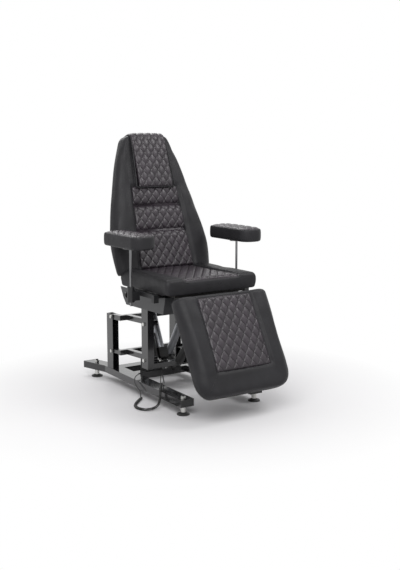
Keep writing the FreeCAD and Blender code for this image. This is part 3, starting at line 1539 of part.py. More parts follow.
def tube_on(pieces, radius, corners):
    """A solid cord along a route."""
    spine = spine_of(pieces)
    start = pieces[0][0]
    direction = (pieces[0][1] - start).normalize()
    return spine.makePipeShell([ring_at(start, direction, radius, corners)], True, False)


# The curly stretch: over the floor outside the right side rail, then up and over that rail
CURL_ROUTE = [Vector(-274, -5, 0), Vector(-368, -86, 0), Vector(-396, -160, 0), Vector(-366, -224, 0),
              Vector(-302, -223, 6), Vector(-285, -220, 38), Vector(-280, -218, 76),
              Vector(-261, -190, 101),
              Vector(-222, -136, 103)]
# From the handset's gland over the right rail down to the curls
HANDSET_ROUTE = [Vector(-108, 178, 107), Vector(-146, 158, 112), Vector(-200, 138, 108),
                 Vector(-246, 116, 101),
                 Vector(-268, 84, 78), Vector(-273, 42, 56)]
# From the curls to the control box's gland
BOX_ROUTE = [Vector(-184, -84, 150), Vector(-158, -52, 108), Vector(-134, -22, 74), Vector(-100, 34, 64),
             Vector(-70, 88, 64), Vector(-48, 136, 78), Vector(-33, 170, 94)]


def curly_cord():
    """The curled stretch: a helix that follows a rounded route over the floor."""
    wire = size("wire_radius")
    radius = size("curl_radius")
    lift = Vector(0, 0, radius + wire + size("soft_gap"))
    pieces, radii = route([point + lift for point in CURL_ROUTE])
    spine = spine_of(pieces)
    total = spine.Length
    turns = int(total / size("curl_pitch")) + 0.5
    stations = int(turns * 2)
    upward = Vector(0, 0, 1)
    lengths = [edge.Length for edge in spine.Edges]

    def on_spine(distance):
        for edge, length in zip(spine.Edges, lengths):
            if distance <= length + 1e-6:
                spot = edge.getParameterByLength(min(distance, length))
                return edge.valueAt(spot), edge.tangentAt(spot)
            distance -= length
        spot = spine.Edges[-1].LastParameter
        return spine.Edges[-1].valueAt(spot), spine.Edges[-1].tangentAt(spot)

    def helix(step):
        angle = -math.pi * step
        point, forward = on_spine(total * step / stations)
        across = forward.cross(upward).normalize()
        above = across.cross(forward)
        spot = point + (across * math.cos(angle) + above * math.sin(angle)) * radius
        sweep = (across * math.sin(angle) - above * math.cos(angle)) * (radius * 2 * math.pi * turns / total)
        return spot, (sweep + forward).normalize()

    marks = [helix(step) for step in range(stations + 1)]
    arcs = []
    for (spot, heading), (after, after_heading) in zip(marks, marks[1:]):
        arcs += biarc(spot, heading, after, after_heading)
    start, start_heading = marks[0]
    end, end_heading = marks[-1]
    lead_in = start - start_heading * (2 * wire)
    lead_out = end + end_heading * (2 * wire)
    track = [(lead_in, start)] + arcs + [(end, lead_out)]
    print("curls", turns, "spine", round(total, 1), "gap", round(own_gap(track, wire), 2))
    print("curl spine radii", [round(r) for r in radii])
    solid = tube_on(track, wire, 6)
    return solid, (lead_in, start_heading), (lead_out, end_heading)


GAP_STEPS = 8
GAP_REACH = 120
GAP_APART_SHARE = 6


def own_gap(track, wire):
    """The least gap between turns, measured on points along the track."""
    points = []
    walked = 0.0
    for piece in track:
        edge = spine_of([piece])
        for spot in edge.discretize(GAP_STEPS)[:-1]:
            points.append((walked, spot))
            walked += edge.Length / (GAP_STEPS - 1)
    least = None
    for index, (here, spot) in enumerate(points):
        for there, other in points[index + 1:index + GAP_REACH]:
            if there - here > GAP_APART_SHARE * wire:
                gap = spot.distanceToPoint(other) - 2 * wire
                least = gap if least is None else min(least, gap)
    return least


def cords():
    """The handset's cord: a plain lead, the curls and a plain lead to the box."""
    wire = size("wire_radius")
    solid, (lead_in, in_heading), (lead_out, out_heading) = curly_cord()
    soft("cord_curl", solid)
    beam = size("rail_lift") + size("rail_tall") + size("gland_up")
    gland = Vector(size("hand_x"), size("hand_y") - size("gland_long"), beam)
    straight = Vector(0, -1, 0)
    run_in = (HANDSET_ROUTE[-1] - lead_in).Length / 2
    points = [gland, gland + straight * size("gland_lead")] + HANDSET_ROUTE
    points += [lead_in - in_heading * run_in, lead_in]
    pieces, radii = route(points)
    print("handset lead", round(spine_of(pieces).Length, 1), "radii", [round(r) for r in radii])
    soft("cord_lead_handset", tube_on(pieces, wire, 0))
    gland = Vector(size("box_x"), size("box_y") - size("gland_long"), beam)
    run_out = (BOX_ROUTE[0] - lead_out).Length / 2
    points = [lead_out, lead_out + out_heading * run_out] + BOX_ROUTE
    points += [gland + straight * size("gland_lead"), gland]
    pieces, radii = route(points)
    print("box lead", round(spine_of(pieces).Length, 1), "radii", [round(r) for r in radii])
    soft("cord_lead_box", tube_on(pieces, wire, 0))


side_rails()
crossbeam("front_crossbeam", "beam_front_y", "beam_deep")
crossbeam("rear_crossbeam", REAR_PILLAR_Y, "rear_beam_deep")
rail_caps()
feet()
rear_pillars()
pivot_bolts()
link("upper_link", "0", "upper_lug_tall")
link("lower_link", "pivot_spacing", "lower_lug_tall")
carriage_posts()
carriage_bars()
seat_frame()
skirt()
hinge_brackets("back_hinge_brackets", "back_bracket_x", BACK_Y, BACK_Z, "back_eye_radius",
               f"{BACK_Y} - back_eye_radius", "2 * back_eye_radius", BOARD_Z)
hinge_brackets("leg_hinge_brackets", "leg_bracket_x", LEG_Y, LEG_Z, "leg_eye_radius",
               LEG_Y, f"leg_hinge_ahead - seat_rail_ahead", f"{LEG_Z} - leg_eye_radius")
seat_board()
seat_cushion()
back_frame()
back_board()
back_cushion()
head_pad()
leg_frame()
leg_board()
leg_cushion()
side_bars()
clamps()
for side, sign in SIDES.items():
    armrest(side, sign)
    arm_pad(side, sign)
lift_bracket()
actuators()
control_box()
handset()
cord_hook()
cords()
doc.recompute()

for thing in doc.Objects:
    if "Invalid" in thing.State or "Error" in thing.State:
        raise ValueError(f"{thing.Label} failed")
for thing in nodes:
    if thing.Shape.isNull() or not thing.Shape.isValid():
        raise ValueError(f"{thing.Label} has no valid shape")
for thing in nodes:
    thing.Shape.exportStep(f"parts/{thing.Label}.step")
print(len(nodes), "nodes")
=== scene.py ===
"""Tattoo chair: quilted leather cushions on a black parallel-link lift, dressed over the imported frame."""

import math

import bmesh
import bpy
import numpy as np
from mathutils import Matrix, Vector

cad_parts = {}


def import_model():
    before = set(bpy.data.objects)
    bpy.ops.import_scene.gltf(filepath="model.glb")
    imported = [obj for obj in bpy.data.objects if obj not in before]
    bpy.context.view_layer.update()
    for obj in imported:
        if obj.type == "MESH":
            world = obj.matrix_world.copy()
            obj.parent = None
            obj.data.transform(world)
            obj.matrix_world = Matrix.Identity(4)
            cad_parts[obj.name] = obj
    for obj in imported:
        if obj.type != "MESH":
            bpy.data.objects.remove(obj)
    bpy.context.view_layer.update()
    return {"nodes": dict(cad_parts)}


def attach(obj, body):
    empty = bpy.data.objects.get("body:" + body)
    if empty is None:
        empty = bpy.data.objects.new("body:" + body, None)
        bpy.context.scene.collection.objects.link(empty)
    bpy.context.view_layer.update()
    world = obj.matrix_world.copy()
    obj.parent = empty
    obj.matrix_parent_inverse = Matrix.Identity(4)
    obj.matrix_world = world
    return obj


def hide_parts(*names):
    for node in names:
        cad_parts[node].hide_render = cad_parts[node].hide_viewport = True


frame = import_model()
scene = bpy.context.scene
MM = 0.001


# Node helpers, with the places of the colour sockets on a Mix node, which share their names with others

MIX_FIRST, MIX_SECOND, MIX_COLOUR = 6, 7, 2


def tree_of(name):
    """A new node material, with its nodes, links and main shader."""
    mat = bpy.data.materials.new(name)
    mat.use_nodes = True
    nodes, links = mat.node_tree.nodes, mat.node_tree.links
    return mat, nodes, links, nodes["Principled BSDF"]


def add(nodes, kind, **settings):
    """A node with some of its properties and inputs set."""
    made = nodes.new(kind)
    for key, value in settings.items():
        if hasattr(made, key):
            setattr(made, key, value)
        else:
            made.inputs[key.replace("_", " ")].default_value = value
    return made


def textures(nodes, links, *wanted):
    """Texture or mapping nodes laid in the piece's own coordinates."""
    where = nodes.new("ShaderNodeTexCoord").outputs["Object"]
    made = [add(nodes, kind, **settings) for kind, settings in wanted]
    for node in made:
        links.new(where, node.inputs["Vector"])
    return made


def maths(nodes, links, operation, *values):
    """The result of a Math node over sockets and plain numbers."""
    made = add(nodes, "ShaderNodeMath", operation=operation)
    for socket, value in zip(made.inputs, values):
        if isinstance(value, bpy.types.NodeSocket):
            links.new(value, socket)
        else:
            socket.default_value = value
    return made.outputs[0]


def ramp(nodes, links, source, low, high):
    """A colour or grey ramp between two values, over the middle of a noise."""
    made = nodes.new("ShaderNodeValToRGB")
    for element, place, value in zip(made.color_ramp.elements, (0.3, 0.7), (low, high)):
        element.position = place
        element.color = (*value, 1) if isinstance(value, tuple) else (value, value, value, 1)
    links.new(source, made.inputs["Fac"])
    return made.outputs["Color"]


def bumped(nodes, links, height, strength, depth, under=None):
    """The normal of a bump, its depth in metres, over another bump's normal if there is one."""
    made = add(nodes, "ShaderNodeBump", Strength=strength, Distance=depth)
    links.new(height, made.inputs["Height"])
    if under:
        links.new(under, made.inputs["Normal"])
    return made.outputs["Normal"]


# Materials: the stitches and the reach of a seam's painted shade are in millimetres

STITCH, STITCH_SHARE, THREAD = 3.6, 0.7, 0.5
# How dark the painted shade at a seam gets, and how far from the seam it reaches, in millimetres
SEAM_SHADE, SEAM_SHADE_REACH = 0.25, 2.6
THREAD_COLOUR = (0.03, 0.028, 0.03, 1)
WOOD_STRETCH = (4, 60, 60)


def stitched(nodes, links, colour, normal):
    """A quilt's colour and normal, with painted shade darkening the colour towards the seams, and a raised
    dashed thread laid by the seam layer.
    """
    apart = nodes.new("ShaderNodeSeparateXYZ")
    links.new(add(nodes, "ShaderNodeUVMap", uv_map="seam").outputs["UV"], apart.inputs["Vector"])
    along, off = apart.outputs["X"], apart.outputs["Y"]
    dash = maths(nodes, links, "FRACT", maths(nodes, links, "MULTIPLY", along, 1 / STITCH))
    on = maths(nodes, links, "LESS_THAN", dash, STITCH_SHARE)
    thread = maths(nodes, links, "MULTIPLY", on, maths(nodes, links, "LESS_THAN", off, THREAD))
    # Painted shade: the colour is scaled down towards the seam, standing in for the shade inside the sunk
    # seam line
    shade = add(nodes, "ShaderNodeMapRange", From_Max=SEAM_SHADE_REACH, To_Min=SEAM_SHADE)
    links.new(off, shade.inputs["Value"])
    sunk = add(nodes, "ShaderNodeVectorMath", operation="SCALE")
    links.new(colour, sunk.inputs[0])
    links.new(shade.outputs["Result"], sunk.inputs["Scale"])
    mix = add(nodes, "ShaderNodeMix", data_type="RGBA")
    links.new(thread, mix.inputs["Factor"])
    links.new(sunk.outputs[0], mix.inputs[MIX_FIRST])
    mix.inputs[MIX_SECOND].default_value = THREAD_COLOUR
    return mix.outputs[MIX_COLOUR], bumped(nodes, links, thread, strength=0.6, depth=0.0006, under=normal)


def leather(name, dark, light, rough, grain=0.35, level=0.3, quilted=False):
    """Grained leather with soft colour drift, and stitches where it is quilted."""
    mat, nodes, links, shader = tree_of(name)
    drift, pores, crease = textures(
        nodes, links,
        ("ShaderNodeTexNoise", {"Scale": 9.0, "Detail": 4.0}),
        ("ShaderNodeTexVoronoi", {"feature": "DISTANCE_TO_EDGE", "Scale": 620.0}),
        ("ShaderNodeTexNoise", {"Scale": 95.0, "Detail": 5.0, "Distortion": 0.6}))
    colour = ramp(nodes, links, drift.outputs["Fac"], dark, light)
    normal = bumped(nodes, links, pores.outputs["Distance"], strength=grain, depth=0.0006)
    normal = bumped(nodes, links, crease.outputs["Fac"], strength=0.22, depth=0.0012, under=normal)
    if quilted:
        colour, normal = stitched(nodes, links, colour, normal)
    gloss = ramp(nodes, links, crease.outputs["Fac"], rough - 0.06, rough + 0.08)
    for source, socket in ((colour, "Base Color"), (gloss, "Roughness"), (normal, "Normal")):
        links.new(source, shader.inputs[socket])
    shader.inputs["Specular IOR Level"].default_value = level
    return mat


def coated(name, dark, light, rough, coat=0.0, metal=0.0, grain=0.08, scale=140.0, spread=0.05):
    """Paint, plating or moulded plastic: slight drift in colour and gloss, and a fine surface."""
    mat, nodes, links, shader = tree_of(name)
    drift, peel = textures(
        nodes, links,
        ("ShaderNodeTexNoise", {"Scale": 14.0, "Detail": 6.0}),
        ("ShaderNodeTexNoise", {"Scale": scale, "Detail": 3.0}))
    colour = ramp(nodes, links, drift.outputs["Fac"], dark, light)
    gloss = ramp(nodes, links, drift.outputs["Fac"], rough, rough + spread)
    normal = bumped(nodes, links, peel.outputs["Fac"], strength=grain, depth=0.0008)
    for source, socket in ((colour, "Base Color"), (gloss, "Roughness"), (normal, "Normal")):
        links.new(source, shader.inputs[socket])
    for socket, value in (("Metallic", metal), ("Coat Weight", coat), ("Coat Roughness", 0.08)):
        shader.inputs[socket].default_value = value
    return mat


def wood(name, dark, light, rough):
    """Stained plywood, with grain along X."""
    mat, nodes, links, shader = tree_of(name)
    stretch, = textures(nodes, links, ("ShaderNodeMapping", {"Scale": WOOD_STRETCH}))
    grain = add(nodes, "ShaderNodeTexNoise", Scale=3.0, Detail=8.0, Distortion=0.8)
    links.new(stretch.outputs["Vector"], grain.inputs["Vector"])
    links.new(ramp(nodes, links, grain.outputs["Fac"], dark, light), shader.inputs["Base Color"])
    normal = bumped(nodes, links, grain.outputs["Fac"], strength=0.2, depth=0.0008)
    links.new(normal, shader.inputs["Normal"])
    shader.inputs["Roughness"].default_value = rough
    return mat


def plain_name(mat):
    """A material's name without the number that Blender adds."""
    return mat.name.split(".")[0]


def finishes():
    """A finish for each of the CAD model's materials, and two more for the armrests' posts and fittings."""
    made = (
        coated("frame_black", (0.006, 0.006, 0.007), (0.012, 0.012, 0.013), 0.18, coat=0.5),
        coated("satin_black", (0.007, 0.007, 0.008), (0.013, 0.013, 0.014), 0.42, grain=0.12, scale=300.0),
        coated("skirt_grey", (0.028, 0.029, 0.031), (0.036, 0.037, 0.04), 0.34, grain=0.15, scale=300.0),
        coated("zinc", (0.52, 0.52, 0.5), (0.66, 0.66, 0.64), 0.26, metal=1.0, grain=0.12, spread=0.12),
        coated("post_steel", (0.16, 0.16, 0.165), (0.22, 0.22, 0.225), 0.16, metal=1.0, grain=0.05),
        coated("chrome", (0.5, 0.5, 0.51), (0.58, 0.58, 0.59), 0.1, metal=1.0, grain=0.02, spread=0.04),
        coated("actuator_grey", (0.3, 0.31, 0.33), (0.38, 0.39, 0.41), 0.36, metal=0.7, grain=0.1,
               scale=400.0, spread=0.1),
        coated("black_plastic", (0.012, 0.012, 0.012), (0.02, 0.02, 0.02), 0.46, grain=0.3, scale=900.0),
        coated("key_plastic", (0.36, 0.37, 0.39), (0.44, 0.45, 0.47), 0.42, grain=0.15, scale=900.0),
        wood("plywood", (0.009, 0.008, 0.008), (0.02, 0.018, 0.017), 0.7),
        leather("leather", (0.016, 0.0155, 0.017), (0.024, 0.0235, 0.026), 0.45, level=0.18),
        coated("cord_rubber", (0.01, 0.01, 0.01), (0.018, 0.018, 0.018), 0.5, grain=0.15, scale=700.0))
    return {plain_name(mat): mat for mat in made}


FINISH = finishes()
QUILT = leather("quilted_leather", (0.019, 0.0145, 0.019), (0.032, 0.0245, 0.032), 0.34, level=0.46,
                quilted=True)
# Darker than the cover's leather: painted shade, standing in for the groove along a seam
GROOVE_SHADE_PIPING = leather("piping_leather_groove_shade", (0.009, 0.009, 0.01), (0.015, 0.015, 0.016), 0.36)
OWN_FINISH = {"arm_post_left": "post_steel", "arm_post_right": "post_steel", "arm_bars": "satin_black",
              "arm_clamps": "satin_black"}


def dress_solids():
    """Gives each CAD node its own finish, or else that of its material."""
    for title, made in frame["nodes"].items():
        for slot in made.material_slots:
            name = plain_name(slot.material) if slot.material else "frame_black"
            slot.material = FINISH.get(OWN_FINISH.get(title, name), FINISH["frame_black"])


# Mesh helpers

def clamp(value):
    """A value kept between 0 and 1."""
    return min(max(value, 0), 1)


def piece(name, bm, mat, body):
    """A smooth object from a bmesh, with its material, body and slot."""
    bmesh.ops.recalc_face_normals(bm, faces=bm.faces)
    mesh = bpy.data.meshes.new(name)
    bm.to_mesh(mesh)
    bm.free()
    mesh.shade_smooth()
    made = bpy.data.objects.new(name, mesh)
    scene.collection.objects.link(made)
    mesh.materials.append(mat)
    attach(made, body)
    return made


def curve_through(points, count, fine=16):
    """Evenly spaced points on a smooth line through the given points."""
    spots = [Vector(p) for p in points]
    dense = []
    for i in range(len(spots) - 1):
        start, end = spots[i], spots[i + 1]
        leave = (end - spots[max(i - 1, 0)]) * 0.5
        reach = (spots[min(i + 2, len(spots) - 1)] - start) * 0.5
        for k in range(fine):
            t = k / fine
            dense.append(start * (2 * t ** 3 - 3 * t ** 2 + 1) + leave * (t ** 3 - 2 * t ** 2 + t)
                         + end * (3 * t ** 2 - 2 * t ** 3) + reach * (t ** 3 - t ** 2))
    dense.append(spots[-1])
    walked = [0.0]
    for a, b in zip(dense, dense[1:]):
        walked.append(walked[-1] + (b - a).length)
    made = []
    at = 0
    for k in range(count):
        goal = walked[-1] * k / (count - 1)
        while at < len(dense) - 2 and walked[at + 1] < goal:
            at += 1
        share = (goal - walked[at]) / max(walked[at + 1] - walked[at], 1e-9)
        made.append(dense[at].lerp(dense[at + 1], clamp(share)))
    return made


def skin(rings):
    """A closed skin through rings of as many points each, with a fan at both ends."""
    bm = bmesh.new()
    rows = [[bm.verts.new(p) for p in ring] for ring in rings]
    for low, high in zip(rows, rows[1:]):
        for i in range(len(low)):
            j = (i + 1) % len(low)
            bm.faces.new((low[i], low[j], high[j], high[i]))
    for row in (rows[0], rows[-1]):
        middle = bm.verts.new(sum((v.co for v in row), Vector()) / len(row))
        for i in range(len(row)):
            bm.faces.new((row[i], row[(i + 1) % len(row)], middle))
    return bm


def tube(points, radius, corners=8):
    """A round tube along points, with frames carried along the line."""
    last = len(points) - 1
    heading = [(points[min(i + 1, last)] - points[max(i - 1, 0)]).normalized() for i in range(last + 1)]
    side = heading[0].orthogonal().normalized()
    rings = []
    for spot, ahead in zip(points, heading):
        side = (side - ahead * side.dot(ahead)).normalized()
        other = ahead.cross(side)
        rings.append([spot + (side * math.cos(a) + other * math.sin(a)) * radius
                      for a in (2 * math.pi * k / corners for k in range(corners))])
    return skin(rings)


def line_of(points):
    """Points along the smooth spline that has the given points as its control points."""
    curve = bpy.data.curves.new("line", "CURVE")
    curve.dimensions = "3D"
    spline = curve.splines.new("NURBS")
    spline.points.add(len(points) - 1)
    for point, spot in zip(spline.points, points):
        point.co = (*spot, 1)
    spline.order_u = 3
    spline.use_endpoint_u = True
    spline.resolution_u = 12
    carrier = bpy.data.objects.new("line", curve)
    scene.collection.objects.link(carrier)
    mesh = bpy.data.meshes.new_from_object(carrier)
    made = [v.co.copy() for v in mesh.vertices]
    bpy.data.objects.remove(carrier)
    bpy.data.curves.remove(curve)
    bpy.data.meshes.remove(mesh)
    return made


# Cushion frames: across (u), along (v) and away from the board (w), in millimetres

SEAT_MIDDLE, SEAT_BOARD = 17.03, 630.3
BACK_HINGE, LEG_HINGE = Vector((0, 220.03, 650.0)), Vector((0, -308.97, 603.0))
BACK_TURN, LEG_TURN = (Matrix.Rotation(math.radians(angle), 3, "X") for angle in (-18.1, -28.7))
BACK_FACE, BACK_FOOT = -18.3, 29.7
LEG_FACE, LEG_HEAD = -23.1, -13.0
ARM_MIDDLE = (354, -39.97, 866.3)


def on_seat(u, v, w):
    """The seat cushion's frame: v runs rearwards, w up from the board."""
    return Vector((u, SEAT_MIDDLE + v, SEAT_BOARD + w)) * MM


def on_back(u, v, w):
    """The back cushion's frame: v runs up from its foot, w forwards."""
    return (BACK_HINGE + BACK_TURN @ Vector((u, BACK_FACE - w, BACK_FOOT + v))) * MM


def off_seat(place):
    """Where a place lies in the seat cushion's frame."""
    return place.x / MM, place.y / MM - SEAT_MIDDLE, place.z / MM - SEAT_BOARD


def off_back(place):
    """Where a place lies in the back cushion's frame."""
    spot = BACK_TURN.inverted() @ (place / MM - BACK_HINGE)
    return spot.x, spot.z - BACK_FOOT, BACK_FACE - spot.y


def on_leg(u, v, w):
    """The leg cushion's frame: v runs down from its top edge, w forwards."""
    return (LEG_HINGE + LEG_TURN @ Vector((u, LEG_FACE - w, LEG_HEAD - v))) * MM


def off_leg(place):
    """Where a place lies in the leg cushion's frame."""
    spot = LEG_TURN.inverted() @ (place / MM - LEG_HINGE)
    return spot.x, LEG_HEAD - spot.z, LEG_FACE - spot.y


# Cushion covers, with a sunken bed for the quilting, puffed by a short cloth simulation

BED, CLEAR = 9, 0.4
ROLL_ANGLES = (0.3, 0.75, 1.2, math.pi / 2)
INNER_POINTS, OUTER_POINTS, UNDER_POINTS = 10, 34, 6
STATION, END_STATIONS = 13, 6
HELD_LOW, HELD_HIGH = 12, 50
PUFF = 6


def half_profile(half, tall, panel, notch, swell, roll, foot=14, tuck=5, sink=0.0):
    """Half a cushion's section from the middle of its top to the middle of its underside.

    A shoulder climbs from the bed's edge to the bolster, which rolls over into a side that tucks in above the
    board. The last points run back along the underside.
    """
    bed = tall - BED - sink
    dip = clamp((sink + BED) / BED)
    inner = [(0, bed, 0), (panel * 0.5, bed, 0), (panel - 4, bed - notch * 0.3, 0)]
    side = half - panel
    wide, deep = min(roll, side * 0.72), min(roll, tall * 0.62)
    shoulder = [(panel, tall - 6 * dip - notch, 0), (panel + side * 0.08, tall - 4 * dip - notch * 0.4, 0),
                (panel + side * 0.16, tall + swell * 0.7, 0), (half - wide * 1.03, tall + swell, 0)]
    rim = [(half - wide + wide * math.sin(a), tall - deep * (1 - math.cos(a)) + swell * math.cos(a), 0)
           for a in ROLL_ANGLES]
    sole = half - tuck - foot
    base = [(half + 1, (tall - deep) * 0.5 + foot * 0.3, 0), (half - 1, foot * 0.8, 0),
            (half - tuck, foot * 0.25, 0), (sole, 0, 0)]
    under = [Vector((sole * (1 - k / UNDER_POINTS), 0, 0)) for k in range(1, UNDER_POINTS + 1)]
    return curve_through(inner, INNER_POINTS) + curve_through(shoulder + rim + base, OUTER_POINTS) + under


def crowned(u, half, rise):
    """How much higher a crowned face stands here than at half its width."""
    return rise * (1 - (u / half) ** 2)


def ring_of(profile, put):
    """A whole section from its right half, placed by a function of how far a point is across and above."""
    left = [Vector((-p.x, p.y, 0)) for p in reversed(profile[1:-1])]
    return [put(p.x, p.y) for p in profile + left]


def corner_shift(distance, radius):
    """How far a rounded edge has drawn in at a distance from its end."""
    if distance >= radius:
        return 0.0
    return radius - math.sqrt(max(radius ** 2 - (radius - distance) ** 2, 0))


def stations(start, end, first, last):
    """Places along a cushion, close together within its rounded ends."""
    near, far = ([length * (1 - math.cos(math.pi / 2 * k / END_STATIONS)) for k in range(END_STATIONS + 1)]
                 for length in (first, last))
    count = max(int((end - last - start - first) / STATION), 2)
    middle = np.linspace(start + first, end - last, count + 1)[1:-1]
    return [start + s for s in near] + list(middle) + [end - s for s in reversed(far)]


def evened(mesh, moves, rounds=14, kept=0.08):
    """Movements averaged with those of the neighbouring points, so that no wrinkle stays."""
    raw = np.array(moves)
    pairs = np.array([edge.vertices[:] for edge in mesh.edges])
    count = 1 + np.bincount(pairs.ravel(), minlength=len(raw))[:, None]
    calm = raw.copy()
    for _ in range(rounds):
        total = calm.copy()
        np.add.at(total, pairs[:, 0], calm[pairs[:, 1]])
        np.add.at(total, pairs[:, 1], calm[pairs[:, 0]])
        calm = total / count
    return calm * (1 - kept) + raw * kept


def puffed(made, held, pressure=3.0, frames=16):
    """Swells a closed skin by a short cloth simulation, with some points held and every movement capped."""
    rest = [v.co.copy() for v in made.data.vertices]
    group = made.vertex_groups.new(name="held")
    for i, place in enumerate(rest):
        group.add([i], 1.0 if held(place) else 0.0, "REPLACE")
    cloth = made.modifiers.new("cloth", "CLOTH")
    for name, value in (("vertex_group_mass", "held"), ("pin_stiffness", 1.0), ("use_pressure", True),
                        ("uniform_pressure_force", pressure), ("shrink_min", -0.025), ("quality", 4),
                        ("tension_stiffness", 20), ("bending_stiffness", 2)):
        setattr(cloth.settings, name, value)
    cloth.settings.effector_weights.gravity = 0
    cloth.point_cache.frame_start = 1
    cloth.point_cache.frame_end = frames
    for step in range(1, frames + 1):
        scene.frame_set(step)
    shape = made.evaluated_get(bpy.context.evaluated_depsgraph_get()).data
    moves = [v.co - start for v, start in zip(shape.vertices, rest)]
    made.modifiers.clear()
    made.vertex_groups.clear()
    scene.frame_set(1)
    for vertex, start, move in zip(made.data.vertices, rest, evened(made.data, moves)):
        move = Vector(move)
        if move.length > PUFF * MM:
            move *= PUFF * MM / move.length
        vertex.co = start + move


def subdivided(made):
    """Smooths a cover by one subdivision."""
    smooth = made.modifiers.new("smooth", "SUBSURF")
    smooth.levels = smooth.render_levels = 1


# Quilting

DIAMOND_STEPS = 8
CROWN_POWER = 0.32
EDGE_HEIGHT, EDGE_TUCK = 0.35, 6
FOLD_CUTS = (-5, -2, 0, 2, 5)


def diamond(bm, seam, middle, pitch, rise):
    """One puffed diamond, whose seam layer holds the way along the nearest seam and off it."""
    marks = [(1 - math.cos(math.pi * k / DIAMOND_STEPS)) / 2 for k in range(DIAMOND_STEPS + 1)]
    (wide, tall), (cu, cv) = pitch, middle
    leg = math.hypot(wide, tall) / 2
    grid = {}
    for a, s in enumerate(marks):
        for b, t in enumerate(marks):
            crown = (16 * s * (1 - s) * t * (1 - t)) ** CROWN_POWER
            grid[a, b] = bm.verts.new((cu + (s - t) * wide / 2, cv + (s + t - 1) * tall / 2, rise * crown))
    for a in range(DIAMOND_STEPS):
        for b in range(DIAMOND_STEPS):
            spots = [(a, b), (a + 1, b), (a + 1, b + 1), (a, b + 1)]
            face = bm.faces.new([grid[s] for s in spots])
            beside = min(a, DIAMOND_STEPS - 1 - a) < min(b, DIAMOND_STEPS - 1 - b)
            for loop, (i, j) in zip(face.loops, spots):
                along, off = (marks[j], marks[i]) if beside else (marks[i], marks[j])
                loop[seam].uv = (along * leg, min(off, 1 - off) * leg)


def cut(bm, place, normal, clear=False):
    """Cuts the whole mesh along a plane."""
    bmesh.ops.bisect_plane(bm, geom=bm.verts[:] + bm.edges[:] + bm.faces[:], dist=0.001, plane_co=place,
                           plane_no=normal, clear_outer=clear)


def trimmed(bm, outline):
    """Trims a flat quilt to a convex outline, and gives a point and the outward direction of each side."""
    middle = Vector((sum(p[0] for p in outline) / len(outline), sum(p[1] for p in outline) / len(outline), 0))
    sides = []
    for p, q in zip(outline, outline[1:] + outline[:1]):
        p, q = Vector((*p, 0)), Vector((*q, 0))
        along = (q - p).normalized()
        out = Vector((along.y, -along.x, 0))
        if out.dot(middle - p) > 0:
            out = -out
        sides.append((p, out))
        cut(bm, p, out, clear=True)
    return sides


def quilt(name, frame_at, base, outline, pitch, body, rise=7, start=(0, 0), edge=9, depth=14, folds=()):
    """A quilted panel of raised diamonds inside a convex outline, tucked down along its edges."""
    wide, tall = pitch
    us, vs = [p[0] for p in outline], [p[1] for p in outline]
    bm = bmesh.new()
    seam = bm.loops.layers.uv.new("seam")
    for i in range(int(min(us) / wide) - 2, int(max(us) / wide) + 3):
        for j in range(int((min(vs) - start[1]) / tall) - 2, int((max(vs) - start[1]) / tall) + 3):
            for shift in (0, 0.5):
                cu, cv = start[0] + (i + shift) * wide, start[1] + (j + shift) * tall
                if min(us) - wide < cu < max(us) + wide and min(vs) - tall < cv < max(vs) + tall:
                    diamond(bm, seam, (cu, cv), pitch, rise)
    bmesh.ops.remove_doubles(bm, verts=bm.verts, dist=0.01)
    sides = trimmed(bm, outline)
    for fold in folds:
        for off in FOLD_CUTS:
            cut(bm, (0, fold + off, 0), (0, 1, 0))
    made = bmesh.ops.extrude_edge_only(bm, edges=[e for e in bm.edges if e.is_boundary])
    low = {v for v in made["geom"] if isinstance(v, bmesh.types.BMVert)}
    for v in bm.verts:
        share = clamp(min(out.dot(p - v.co) for p, out in sides) / edge)
        sunk = EDGE_TUCK * (1 - math.sqrt(1 - (1 - share) ** 2))
        height = v.co.z * (EDGE_HEIGHT + (1 - EDGE_HEIGHT) * share) - sunk
        if v in low:
            height = -(depth(v.co.x, v.co.y) if callable(depth) else depth)
        v.co = frame_at(v.co.x, v.co.y, base(v.co.x, v.co.y) + height)
    bmesh.ops.holes_fill(bm, edges=[e for e in bm.edges if e.is_boundary])
    panel = piece(name, bm, QUILT, body)
    return panel


def welt(name, points, radius, body, mat=GROOVE_SHADE_PIPING, count=None):
    """A thin leather welt along a line of points, by default in the darker leather that paints the shade of a
    seam's groove.
    """
    spots = curve_through([p / MM for p in points], count or max(12, len(points) * 3))
    return piece(name, tube([p * MM for p in spots], radius * MM), mat, body)


def laid(body, frame_at, spots, sunk=0.3, above=160.0, below=40.0):
    """Points on a padded piece's finished face, found straight down onto it."""
    shape = body.evaluated_get(bpy.context.evaluated_depsgraph_get())
    found = []
    for u, v in spots:
        start, end = frame_at(u, v, above), frame_at(u, v, below)
        hit, place = shape.ray_cast(start, (end - start).normalized())[:2]
        if hit:
            found.append(place + (end - start).normalized() * sunk * MM)
    return found


# Seat cushion

